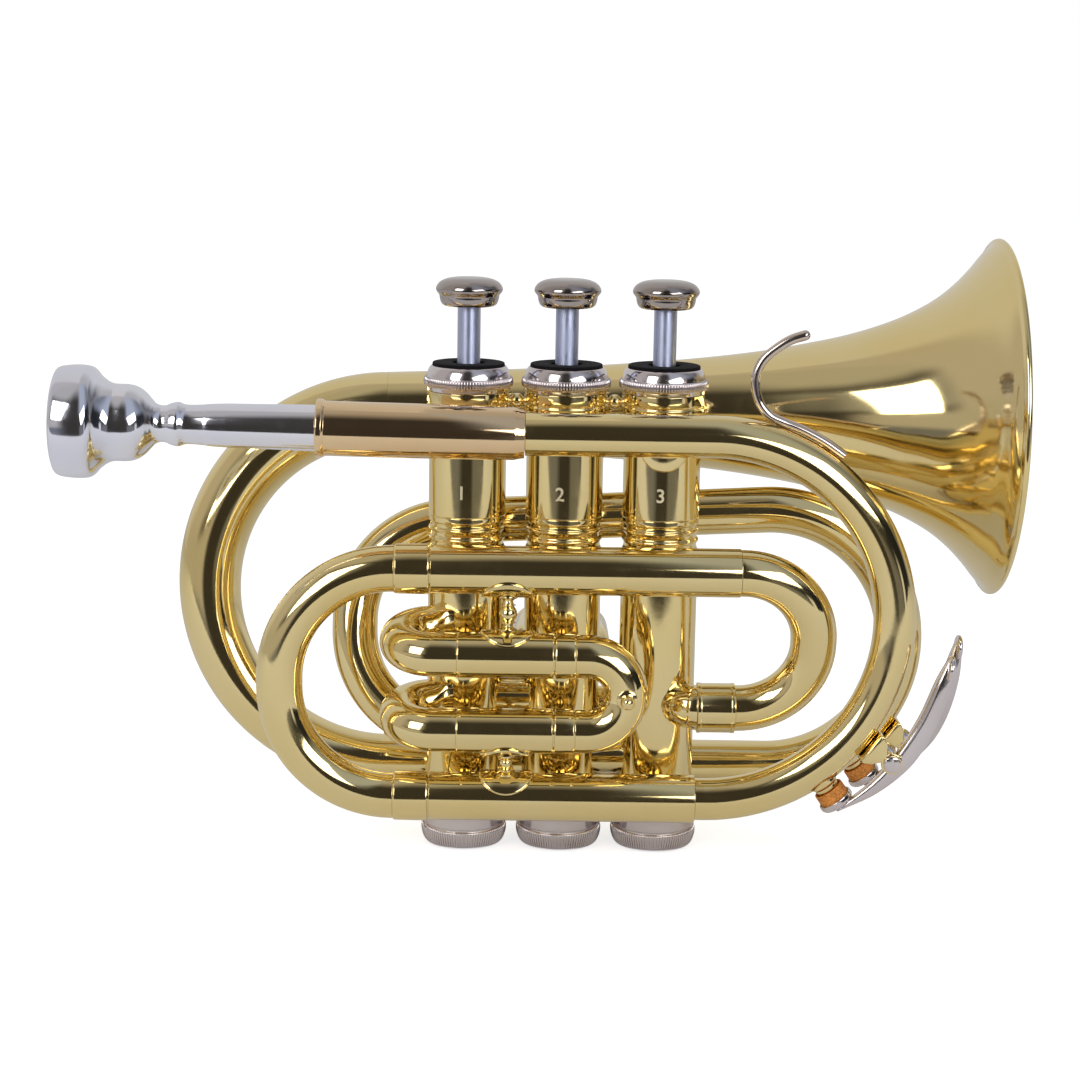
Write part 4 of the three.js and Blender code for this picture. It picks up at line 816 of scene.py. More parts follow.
class TRUMPET_OT_caps(bpy.types.Operator):
    """Build the top and bottom caps with their knurled rings, and the felt rings"""

    bl_idname = "trumpet.caps"
    bl_label = "Valve caps"

    def execute(self, context):
        seat, knurls = TOP_CAP_SEAT, knurl_tree()
        top = eased([
            (118.45, 10.5), (119.4, 10.6), (119.7, 10.85), (121.7, 10.85), (121.9, 10.55), (122.4, 10.5),
            (123.2, 10.25), (123.9, 9.95), (124.4, 9.6), (124.62, 9.3), (124.6, 9.15), (seat, 9.15), (seat, 3.2),
            (seat - 1.8, 3.2), (seat - 1.8, 7.2), (115.4, 7.2), (115.4, 8.2), (118.45, 8.2),
        ], 0.14)
        bottom = eased([
            (0, 0), (0, 5.6), (0.2, 7.2), (0.7, 8.6), (1.6, 9.75), (2.8, 10.4), (4.2, 10.7), (5.1, 10.7),
            (5.3, 10.4), (5.8, 10.4), (6.0, 10.6), (8.4, 10.66), (8.7, 10.85), (9.4, 10.85), (9.6, 10.6),
            (9.6, 10.05), (1.7, 10.05), (1.7, 0),
        ], 0.16, closed=False)
        ring = eased([
            (seat + 0.02, 4.1), (seat + 0.02, 9.1), (seat + 2.75, 9.1), (seat + 2.85, 6.5), (seat + 2.75, 4.1),
        ], 0.3)
        for number, x in CASING_X.items():
            axis = straight((x, 0, 0), (x, 0, 150))
            dress(Shape().sweep(axis, top, 96), f"top_cap_{number}", "nickel_plate", sharp=50)
            self.knurl(f"top_cap_knurl_{number}", knurls, 10.78, (1.0, 0.56, 2.5), 0, (x, 0, 120.7))
            dress(Shape().sweep(axis, bottom, 96, False), f"bottom_cap_{number}", "nickel_plate", sharp=50)
            self.knurl(f"bottom_cap_knurl_{number}", knurls, 10.02, (1.7, 0.56, 4.9), 14, (x, 0, 3.1))
            dress(Shape().sweep(axis, ring, 72), f"top_cap_felt_{number}", "black_felt")
        return {"FINISHED"}

    def knurl(self, name, tree, radius, size, lean, place):
        """A ring of ridges: its radius, one ridge's size, how far it leans in, and its place."""
        data = shaped_by_nodes(name, tree, {
            "Ridges": bpy.context.scene.trumpet_valves.ridges, "Radius": radius * MM,
            "Ridge Size": tuple(value * MM for value in size), "Lean": (0, math.radians(lean), 0),
            "Place": tuple(value * MM for value in place),
        }, "nickel_plate")
        lay(name, data, "nickel_plate")


class TRUMPET_OT_valve_tops(bpy.types.Operator):
    """Build the stems, the finger buttons and the valve springs"""

    bl_idname = "trumpet.valve_tops"
    bl_label = "Stems, buttons and springs"

    def execute(self, context):
        coil, low, high = coil_tree(), SPRING_LOW, SPRING_HIGH
        dome = flowing([
            (7.2, 0), (7.17, 2.4), (7.02, 4.4), (6.7, 5.9), (6.1, 7.2), (5.3, 8.0), (4.4, 8.38), (3.7, 8.25),
            (3.1, 7.8), (2.65, 7.52), (2.0, 7.42), (1.2, 7.22), (0.5, 6.85), (0.12, 6.35),
        ], 6)
        skirt = eased([(0.0, 5.9), (0.0, 3.05), (2.2, 3.05), (2.2, 0)], 0.1, closed=False)
        profile = [(BUTTON_REST + z, r) for z, r in dome + skirt]
        for number, x in CASING_X.items():
            axis = straight((x, 0, 0), (x, 0, 160))
            body = f"valve_{number}"
            stem = Shape().bar(axis, [(115.1, 5.2), (116.7, 5.2), (116.7, 2.9), (141.4, 2.9)], 0.15, 48)
            dress(stem, f"valve_stem_{number}", "satin_steel", body)
            # The buttons take the darkened copy of the nickel, which is painted shade.
            dress(Shape().sweep(axis, profile, 96, False), f"finger_button_{number}", "warm_nickel", body)
            data = shaped_by_nodes(f"valve_spring_{number}", coil, {
                "Turns": context.scene.trumpet_valves.spring_turns, "Radius": 0.00495, "Wire": 0.00042,
                "Length": (high - low - 2 * SPRING_END_GAP) * MM, "Place": (x * MM, 0, (low + SPRING_END_GAP) * MM),
            }, "satin_steel")
            spring = lay(f"valve_spring_{number}_finished", data, "satin_steel",
                         nodes=[f"valve_spring_{number}"])
            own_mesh(spring)
        return {"FINISHED"}


class TRUMPET_OT_leadpipe(bpy.types.Operator):
    """Build the mouthpiece, its receiver and the leadpipe with its bow"""

    bl_idname = "trumpet.leadpipe"
    bl_label = "Mouthpiece and leadpipe"

    def execute(self, context):
        length, seam = MOUTHPIECE_LENGTH, drawn_sizes()[2]
        front = RECEIVER_START + MOUTHPIECE_SEATED - length
        outline = flowing([(along * length, across * MOUTHPIECE_RIM) for along, across in MOUTHPIECE_SHARES], 8)
        outline += [
            (63.5, 5.7), (length - 0.2, 4.95), (length, 4.8), (length, 4.2), (20.1, 1.9), (CUP_DEPTH, 1.9),
        ]
        cup = flowing([(down * CUP_DEPTH, across * CUP_RADIUS) for down, across in reversed(CUP_SHARES)], 6)
        rim = flowing([(0.575, CUP_RADIUS), (0.15, 8.75), (0.0, 9.9), (0.06, 11.0)], 5)
        axis = straight(along_receiver(front), along_receiver(front + length))
        dress(Shape().sweep(axis, outline + cup + rim[1:], 96), "mouthpiece", "silver_plate", "mouthpiece")
        axis = straight(along_receiver(RECEIVER_START), along_receiver(RECEIVER_END))
        receiver = Shape().tube(axis, [
            (0, 6.9), (0.35, 7.2), (1.5, 7.2), (1.9, 6.95), (2.1, 6.75), (24, 6.73), (48.4, 6.45), (49.0, 6.3),
            (50.2, 6.05), (51, 5.95),
        ], [(0, 6.0), (23.8, 5.25), (24.4, 4.6), (51, 4.6)], 0.12, 80)
        dress(receiver, "mouthpiece_receiver", "rosy_brass")
        route = Route([
            (RECEIVER_END + seam, FRONT_PLANE, LEADPIPE_HEIGHT), (FRONT_BOW_REACH, FRONT_PLANE, LEADPIPE_HEIGHT),
            (FRONT_BOW_REACH, FRONT_PLANE, LOWER_SLIDE_HEIGHT),
            (LOWER_SLIDE_RIGHT + seam, FRONT_PLANE, LOWER_SLIDE_HEIGHT),
        ], [FRONT_BOW_RADIUS] * 2)
        dress(nipple(Shape().pipe(route, LEADPIPE_RADIUS), FRONT_BOW), "leadpipe")
        return {"FINISHED"}


def nipple(shape, bow):
    """The short spout under a water key's cork."""
    low, high = bow.over(KEY_NIPPLE_ANGLE, -2.2), bow.over(KEY_NIPPLE_ANGLE, 2.2)
    run = (high - low).length
    return shape.tube(straight(low, high), [(0, 3.9), (1.9, 3.7), (2.6, 3.2), (3.2, 3.1), (run, 3.1)], 1.5, 0.15, 40)


def crook(ends, along, reach, bend, radius, ferrule, sleeve, leg, tube):
    """A slide: its bow, two ferrules and the two inner legs, drawn as one tube with steps."""
    wall, sides, seam = drawn_sizes()
    along, ends = Vector(along), [Vector(end) for end in ends]
    route = Route([ends[0] - along * leg, ends[0] + along * reach, ends[1] + along * reach, ends[1] - along * leg],
                  [bend, bend])
    inner = tube - wall - 0.25
    near, far = leg + seam, leg + ferrule + 0.3
    outer = [
        (0, inner), (near, inner), (near, sleeve - 0.12), (near + 0.3, sleeve), (near + ferrule * 0.5, sleeve - 0.04),
        (far - seam - 0.4, sleeve - 0.1), (far - seam, sleeve - 0.3), (far - seam, radius - 0.14),
        (far, radius - 0.14), (far, radius),
    ]
    mirrored = [(route.length - travel, r) for travel, r in reversed(outer)]
    return Shape().tube(route, outer + mirrored, inner - wall, 0.08, sides)


class TRUMPET_OT_tuning_slide(bpy.types.Operator):
    """Build the tuning slide, the tubes it runs in, the small bow and the knuckle at the third valve"""

    bl_idname = "trumpet.tuning_slide"
    bl_label = "Tuning slide and small bow"

    def execute(self, context):
        wall, sides, seam = drawn_sizes()
        for name, height, right in (("upper", UPPER_SLIDE_HEIGHT, UPPER_SLIDE_RIGHT),
                                    ("lower", LOWER_SLIDE_HEIGHT, LOWER_SLIDE_RIGHT)):
            route = straight((SLIDE_LEFT, FRONT_PLANE, height), (right, FRONT_PLANE, height))
            dress(Shape().pipe(route, SLIDE_TUBE_RADIUS), f"{name}_slide_tube")
        left = SLIDE_LEFT - 0.3
        ends = [(left, FRONT_PLANE, z) for z in (UPPER_SLIDE_HEIGHT, LOWER_SLIDE_HEIGHT)]
        dress(crook(ends, (-1, 0, 0), left + 70.6, 28.2, 5.8, 8.5, 6.3, 34, SLIDE_TUBE_RADIUS), "tuning_slide",
              body="tuning_slide")
        top = Vector((SMALL_BOW_REACH, FRONT_PLANE, UPPER_SLIDE_HEIGHT))
        low = Vector((SMALL_BOW_REACH, INLET_PLANE, INLET_HEIGHT))
        bend = (top - low).length / 2 - 0.6
        route = Route([(UPPER_SLIDE_RIGHT + seam, top.y, top.z), top, low, (INLET_END, low.y, low.z)], [bend, bend])
        total, radius = route.length, SMALL_BOW_RADIUS
        start = total - 9.5
        dress(Shape().tube(route, [
            (0, radius), (start - seam, radius), (start - seam, 5.68), (start, 5.68), (start, 6.4), (start + 0.8, 6.4),
            (start + 1.0, 6.28), (total - 1.0, 6.28), (total - 0.8, 6.4), (total, 6.4),
        ], radius - wall, 0.1, sides), "small_bow")
        front, turn = INLET_END - seam, 30.4
        route = Route([(front, INLET_PLANE, INLET_HEIGHT), (turn, INLET_PLANE, INLET_HEIGHT),
                       (turn, -4, INLET_HEIGHT)], [front - turn])
        total = route.length
        knuckle = Shape().tube(
            route, [(0, 5.7), (0.9, 5.7), (1.2, 5.4)] + [(total - t, 5.4) for t in (5, 4, 3, 2, 1, 0)],
            5.4 - wall, 0.1, sides, 0.6)
        knuckle.vertices = [(min(x, front), y, z) for x, y, z in knuckle.vertices]
        dress(knuckle.seat(CASING_X[3], (0, -1)), "inlet_knuckle")
        return {"FINISHED"}


class TRUMPET_OT_valve_slides(bpy.types.Operator):
    """Build the first, second and third valves' slides and the tubes they run in"""

    bl_idname = "trumpet.valve_slides"
    bl_label = "Valve slides"

    def execute(self, context):
        wall, sides, seam = drawn_sizes()
        full = FIRST_TUBE_RADIUS
        elbow = full - 0.18
        for name, height in zip(("upper", "lower"), FIRST_HEIGHTS):
            port, back = Vector((-27.4, -6.9, height + 3.4)), Vector((-40.4, -6.9, height + 3.4))
            ahead = Vector((-40.4, FIRST_PLANE, height))
            bend = (back - ahead).length / 2 - 0.06
            route = Route([port, back, ahead, (-2.3, FIRST_PLANE, height)], [bend, bend])
            total = route.length
            step = total - 23.9
            dress(Shape().tube(route, [(t, elbow) for t in (0, 1, 2, 3, 4, 5)] + [
                (step - seam, elbow), (step - seam, elbow - 0.15), (step, elbow - 0.15), (step, full - 0.1),
                (step + 0.25, full), (total - 0.25, full), (total, full - 0.12),
            ], elbow - wall, 0.06, sides, 0.8).seat(CASING_X[1], (-1, 0)), f"first_slide_tube_{name}")
        bend = (FIRST_HEIGHTS[0] - FIRST_HEIGHTS[1]) / 2
        reach = 5.3 + 3 + bend
        ends = [(-2.0, FIRST_PLANE, z) for z in FIRST_HEIGHTS]
        shape = crook(ends, (1, 0, 0), reach, bend, 5.4, 5.0, full, 21, full)
        surface = Vector((-2.0 + reach, FIRST_PLANE - 5.4 + 0.3, sum(FIRST_HEIGHTS) / 2))
        shape.bar(straight(surface, surface + Vector((0, -4.9, 0))), flowing([
            (0, 2.6), (0.45, 2.5), (0.75, 1.5), (1.1, 1.1), (1.6, 1.35), (2.3, 1.75), (3.0, 1.8), (3.8, 1.5),
            (4.4, 0.9), (4.6, 0.4),
        ], 4), 0.05, 32)
        dress(shape, "first_slide", body="first_slide")
        ends = [(hand * SECOND_SPREAD, 22.9, SECOND_HEIGHT) for hand in (-1, 1)]
        dress(crook(ends, (0, 1, 0), 4 + 0.6 + SECOND_SPREAD, SECOND_SPREAD, 5.0, 3.7, CROSSING_RADIUS, 10.5,
                    CROSSING_RADIUS), "second_slide", body="second_slide")
        for name, height in zip(("upper", "lower"), THIRD_HEIGHTS):
            x, back = CASING_X[3], THIRD_PLANE
            route = Route([(x, 8.2, height), (x, back, height), (-7, back, height)], [7])
            dress(Shape().pipe(route, THIRD_TUBE_RADIUS, step=0.8), f"third_slide_tube_{name}")
        bend = (THIRD_HEIGHTS[0] - THIRD_HEIGHTS[1]) / 2
        ends = [(-7.3, THIRD_PLANE, z) for z in THIRD_HEIGHTS]
        dress(crook(ends, (-1, 0, 0), 4.5 + 0.6 + bend, bend, 4.95, 4.2, THIRD_TUBE_RADIUS, 21, THIRD_TUBE_RADIUS),
              "third_slide", body="third_slide")
        return {"FINISHED"}


def branch_seam(x):
    """The place on the line from the first bow to the rear bow at a given X."""
    high, rear = Vector((BRANCH_LEFT, REAR_PLANE, 80.3)), Vector((REAR_BOW_REACH, REAR_PLANE, REAR_TOP_HEIGHT))
    return high.lerp(rear, (x - high.x) / (rear.x - high.x))


class TRUMPET_OT_branch(bpy.types.Operator):
    """Build the branch from the first valve round both bows to the bell's bow"""

    bl_idname = "trumpet.branch"
    bl_label = "Branch and bell bow"

    def execute(self, context):
        wall, sides, seam = drawn_sizes()
        slim, full, wide = BRANCH_RADIUS, BRANCH_END_RADIUS, 9.52
        route = Route([
            (-27.4, 0.38, 29.4), (BRANCH_LEFT, 4, 28.3), (BRANCH_LEFT, REAR_PLANE, 80.3), branch_seam(-24),
        ], [26, 26])
        dress(Shape().tube(route, [(t, 6.35) for t in (0, 1, 2, 3, 4, 5)] + [
            (15.5, 6.35), (15.8, 6.15), (15.8, slim), (route.length, slim),
        ], slim - wall, 0.12, sides).seat(CASING_X[1], (-1, 0)), "branch_first_bow")
        route = Route([
            branch_seam(-24 + seam), (REAR_BOW_REACH, REAR_PLANE, REAR_TOP_HEIGHT),
            (REAR_BOW_REACH, REAR_PLANE, REAR_LOW_HEIGHT), (BELL_BOW_START, REAR_PLANE, REAR_LOW_HEIGHT),
        ], [REAR_BOW_RADIUS] * 2)
        total = route.length
        bow = Shape().tube(route, [(0, slim), (total, full)], [(0, slim - wall), (total, full - wall)], 0.1, sides)
        dress(nipple(bow, REAR_BOW), "branch_rear_bow")
        low = Vector((BELL_BOW_REACH, REAR_PLANE, REAR_LOW_HEIGHT))
        high = Vector((BELL_BOW_REACH, BELL_PLANE, BELL_HEIGHT))
        bend = (low - high).length / 2 - 0.06
        route = Route([(BELL_BOW_START - seam, REAR_PLANE, REAR_LOW_HEIGHT), low, high,
                       (BELL_START - 0.03, BELL_PLANE, BELL_HEIGHT)], [bend, bend])
        total = route.length
        dress(Shape().tube(route, [(0, full), (total, wide)], [(0, full - wall), (total, wide - wall)], 0.02, sides),
              "bell_bow")
        return {"FINISHED"}


class TRUMPET_OT_bell(bpy.types.Operator):
    """Build the bell with its rolled rim"""

    bl_idname = "trumpet.bell"
    bl_label = "Bell"

    def execute(self, context):
        length, roll = BELL_END - BELL_START, 0.85
        flare = flowing([(along * length, across * BELL_RIM) for along, across in BELL_SHARES], 8)
        bead = [
            (length - roll + roll * math.cos(angle), BELL_RIM - roll + roll * math.sin(angle))
            for angle in [math.radians(150 - 15 * i) for i in range(14)]
        ]
        inside = [(travel + 0.25, radius - 0.65) for travel, radius in reversed(flare[1:-4])]
        route = straight((BELL_START, BELL_PLANE, BELL_HEIGHT), (BELL_END, BELL_PLANE, BELL_HEIGHT))
        dress(Shape().sweep(route, flare + bead + inside + [(0.0, flare[0][1] - 0.75)],
                            context.scene.trumpet_tubing.bell_sides), "bell", sharp=60)
        return {"FINISHED"}


def foot_plate(shape, centre, axis, tube, toward):
    """A round plate bent over a tube, with its rim eased."""
    centre, axis = Vector(centre), Vector(axis)
    out = Vector(toward) - centre
    out = (out - axis * out.dot(axis)).normalized()
    side = out.cross(axis)
    low, high = tube + 0.04, tube + 0.75
    loop = [(0, high), (0.35, high), (0.93, high), (0.98, high - 0.12), (1.0, high - 0.3), (1.0, low), (0, low)]
    sectors, spread, vertices = 48, 6.8, []
    for share, height in loop:
        for k in range(sectors):
            angle = 2 * math.pi * k / sectors
            along = spread * share * math.cos(angle)
            around = spread * share * math.sin(angle) / (tube + 0.4)
            vertices.append(centre + axis * along + out * height * math.cos(around) + side * height * math.sin(around))
    shape.add(vertices, ring_faces(len(loop), sectors))


def turned_post(start, end, ball):
    """A turned brace post between two places: collars, necks and a ball."""
    run = (end - start).length
    half = run / 2
    waist = half - ball
    side = [
        (0, 2.4), (0.35, 2.4), (0.6, 1.9), (0.9, 1.35), (max(waist * 0.6, 1.0), 1.25), (waist - 0.1, 1.45),
        (waist, 1.95), (waist + 0.25, 1.95), (waist + 0.35, 1.5),
    ]
    side += [(half - ball * math.cos(math.radians(a)), ball * math.sin(math.radians(a))) for a in (48, 60, 75, 90)]
    return Shape().bar(straight(start, end), side + [(run - t, r) for t, r in reversed(side[:-1])], 0.06, 40)


class TRUMPET_OT_braces(bpy.types.Operator):
    """Build the turned braces with their bent foot plates, and the finger hook"""

    bl_idname = "trumpet.braces"
    bl_label = "Braces and finger hook"

    def execute(self, context):
        for name, slide, first in (("upper", UPPER_SLIDE_HEIGHT, FIRST_HEIGHTS[0]),
                                   ("lower", LOWER_SLIDE_HEIGHT, FIRST_HEIGHTS[1])):
            start, end = Vector((-13.8, FRONT_PLANE, slide)), Vector((-13.8, FIRST_PLANE, first))
            along = (end - start).normalized()
            near, far = start + along * (SLIDE_TUBE_RADIUS + 0.5), end - along * (FIRST_TUBE_RADIUS + 0.5)
            shape = turned_post(near, far, min(2.3, (far - near).length * 0.28))
            foot_plate(shape, start, (1, 0, 0), SLIDE_TUBE_RADIUS, end)
            foot_plate(shape, end, (1, 0, 0), FIRST_TUBE_RADIUS, start)
            dress(shape, f"slide_brace_{name}")
        pipe, casing = Vector((CASING_X[3], FRONT_PLANE, LEADPIPE_HEIGHT)), Vector((CASING_X[3], 0, 106.5))
        along = (casing - pipe).normalized()
        shape = turned_post(pipe + along * 5.6, casing - along * (CASING_RADIUS + 0.4), 0.9)
        foot_plate(shape, pipe, (1, 0, 0), LEADPIPE_RADIUS, casing)
        foot_plate(shape, casing, (0, 0, 1), CASING_RADIUS, pipe)
        dress(shape, "leadpipe_brace")
        start = Vector((CASING_X[3], 0, BALL_BRACE_HEIGHT))
        along = (Vector((45.4, BELL_PLANE, BELL_HEIGHT)) - start).normalized()
        dress(turned_post(start + along * 10.3, start + along * 21.0, 2.5), "bell_brace")
        dress(self.hook(), "finger_hook", "hook_nickel", sharp=50)
        return {"FINISHED"}

    def hook(self):
        """A bent wire with a spread foot on the bow and a rounded tip."""
        tip, foot_length, scale, sides = 1.3, 16.0, 21.1, 32
        tail = [FRONT_BOW.over(53 + share * 19.5, tip) for share in (0, 1 / 3, 2 / 3, 1)]
        spots = tail + [tail[-1] + Vector((across * scale, 0, up * scale)) for across, up in HOOK_SHARES]
        line = [Vector((x, FRONT_PLANE, z)) for x, z in flowing([(spot.x, spot.z) for spot in spots], 10)]
        ahead = (line[-1] - line[-2]).normalized()
        line += [line[-1] + ahead * (tip * math.sin(math.radians(a))) for a in range(15, 91, 15)]
        travel = [0.0]
        for before, after in zip(line, line[1:]):
            travel.append(travel[-1] + (after - before).length)
        side, vertices = Vector((0, 1, 0)), []
        for index, spot in enumerate(line):
            along = (line[min(index + 1, len(line) - 1)] - line[max(index - 1, 0)]).normalized()
            other = along.cross(side)
            past = max(0.0, travel[index] - (travel[-1] - tip)) / tip
            swell = 1.15 + 0.15 * max(0.0, travel[index] / travel[-1] - 0.8) / 0.2
            round_off = math.sqrt(max(0.0, 1 - min(past, 1.0) ** 2))
            wide = swell + 0.9 * max(0.0, 1 - travel[index] / foot_length)
            for k in range(sides):
                angle = 2 * math.pi * k / sides
                vertices.append(spot + side * wide * round_off * math.cos(angle)
                                + other * swell * round_off * math.sin(angle))
        return Shape().add(vertices, ring_faces(len(line), sides) + [tuple(range(sides))])


class TRUMPET_OT_water_keys(bpy.types.Operator):
    """Build both water keys: saddle, hinge, lever, cork and wound spring"""

    bl_idname = "trumpet.water_keys"
    bl_label = "Water keys"

    def execute(self, context):
        coil = coil_tree()
        cap = eased([
            (0.8, 0), (0.8, 3.4), (0, 3.45), (0, 3.85), (CORK_HEIGHT, 3.95), (CORK_HEIGHT, 0),
        ], 0.3, closed=False)
        for number, bow in ((1, FRONT_BOW), (2, REAR_BOW)):
            hinge, body = bow.over(KEY_HINGE_ANGLE, KEY_HINGE_RISE), f"water_key_{number}"
            dress(self.saddle(bow, hinge), f"water_key_saddle_{number}")
            lay(f"water_key_screw_{number}", self.pin(hinge).mesh(f"water_key_screw_{number}"), "nickel_plate")
            dress(self.lever(bow), f"water_key_lever_{number}", "nickel_plate", body)
            route = straight(bow.over(KEY_NIPPLE_ANGLE, 1.5), bow.over(KEY_NIPPLE_ANGLE, 1.5 + CORK_HEIGHT))
            dress(Shape().sweep(route, cap, 56, False), f"water_key_cork_{number}", "natural_cork", body)
            place = hinge + Vector((0, KEY_BARREL_LENGTH / 2 + KEY_ASIDE + 0.6, 0))
            data = shaped_by_nodes(f"water_key_spring_{number}", coil, {
                "Turns": 3.5, "Radius": 0.0017, "Wire": 0.0003, "Length": 3.5 * 1.1 * MM,
                "Place": tuple(place * MM), "Turn": (-math.pi / 2, 0, 0),
            }, "satin_steel")
            lay(f"water_key_spring_{number}_finished", data, "satin_steel",
                nodes=[f"water_key_spring_{number}"])
        return {"FINISHED"}

    def saddle(self, bow, hinge):
        """A bent plate on the bow with an ear on each side of the hinge."""
        shape = Shape()
        out = (hinge - bow.centre).normalized()
        round_bow = Vector((-out.z, 0, out.x))
        reach, eye = bow.bend + bow.tube, 2.7
        ear = []
        for degrees in range(-60, 241, 15):
            angle = math.radians(degrees)
            ear.append(hinge + round_bow * eye * math.cos(angle) + out * eye * math.sin(angle))
        ear += [bow.centre + out * (reach + rise) + round_bow * aside for rise, aside in (
            (2.4, -3.1), (0.9, -4.0), (0.1, -4.3), (0.1, 4.3), (0.9, 4.0), (2.4, 3.1))]
        for hand in (-1, 1):
            shape.slab([(spot.x, spot.z) for spot in ear], hinge.y + hand * 5.2, 1.1, 0.25)
        turn = Matrix((out, Vector((0, 1, 0)), round_bow)).transposed()
        shape.box(bow.centre + out * (reach + 0.3), (1.3, 11.4, 8.2), turn, 0.4)
        return shape

    def pin(self, hinge):
        """The hinge's pin with a slotted screw head at the front and a plain end at the back."""
        reach = Vector((0, 5.85, 0))
        front, back = hinge - reach, hinge + reach
        shape = Shape().bar(straight(front, back), [(0, 0.9), (2 * reach.y, 0.9)], 0.1, 32)
        shape.sweep(straight(front, front - Vector((0, 1, 0))), eased([
            (0, 0), (0, 2.15), (0.7, 2.15), (0.95, 1.6), (0.95, 0),
        ], 0.2, closed=False), 40, False)
        for hand in (-1, 1):
            shape.box(front + Vector((hand * 0.95, -0.98, 0)), (1.3, 0.12, 3.0), None, 0.05)
        return shape.bar(straight(back, back + Vector((0, 0.4, 0))), [(0, 1.5), (0.4, 1.3)], 0.1, 32)

    def edge(self, bow, shares):
        """One edge of a lever's arm, as a smooth line of (x, z) pairs."""
        spots = [
            bow.over(KEY_NIPPLE_ANGLE + share * (bow.tip - KEY_NIPPLE_ANGLE), rise * KEY_HINGE_RISE)
            for share, rise in shares
        ]
        return flowing([(spot.x, spot.z) for spot in spots], 8)

    def lever(self, bow):
        """The arm with its barrel on the hinge, the cup that holds the cork and the pad for the finger."""
        hinge = bow.over(KEY_HINGE_ANGLE, KEY_HINGE_RISE, KEY_ASIDE)
        half = Vector((0, KEY_BARREL_LENGTH / 2, 0))
        shape = Shape().tube(straight(hinge - half, hinge + half), [(0, 1.9), (KEY_BARREL_LENGTH, 1.9)], 1.15, 0.2, 40)
        route = straight(bow.over(KEY_NIPPLE_ANGLE, 4.5), bow.over(KEY_NIPPLE_ANGLE, 7.0))
        shape.sweep(route, eased([
            (0, 4.15), (0, 4.5), (1.2, 4.5), (1.9, 4.0), (2.3, 2.6), (2.4, 0), (1.5, 0), (1.5, 4.15),
        ], 0.25, closed=False), 56, False)
        inner, outer = self.edge(bow, KEY_INNER_SHARES), self.edge(bow, KEY_OUTER_SHARES)
        widths = flowing(list(enumerate(KEY_WIDTHS)), 8)
        sections = []
        for (near_x, near_z), (far_x, far_z), (_, width) in zip(inner, outer, widths):
            near, far = Vector((near_x, hinge.y, near_z)), Vector((far_x, hinge.y, far_z))
            sections.append(((near + far) / 2, (far - near) / 2, Vector((0, width, 0))))
        for end, beyond in ((0, 1), (-1, -2)):
            centre, rise, wide = sections[end]
            ahead = (centre - sections[beyond][0]).normalized()
            for share in (0.4, 0.75, 1.0):
                cap = math.sqrt(1 - share * share * 0.85)
                extra = (centre + ahead * 0.7 * share, rise * cap, wide * cap)
                sections.insert(0 if end == 0 else len(sections), extra)
        shape.loft(sections)
        tip = bow.over(bow.tip - 3.4, 9.6, KEY_ASIDE)
        outward = tip - bow.centre
        outward.y = 0
        outward = outward.normalized() * 0.8
        pad = [(0, 2.6), (0.4, 3.3), (1.2, 3.3), (1.6, 2.6)]
        return shape.bar(straight(tip - outward, tip + outward), pad, 0.25, 48)


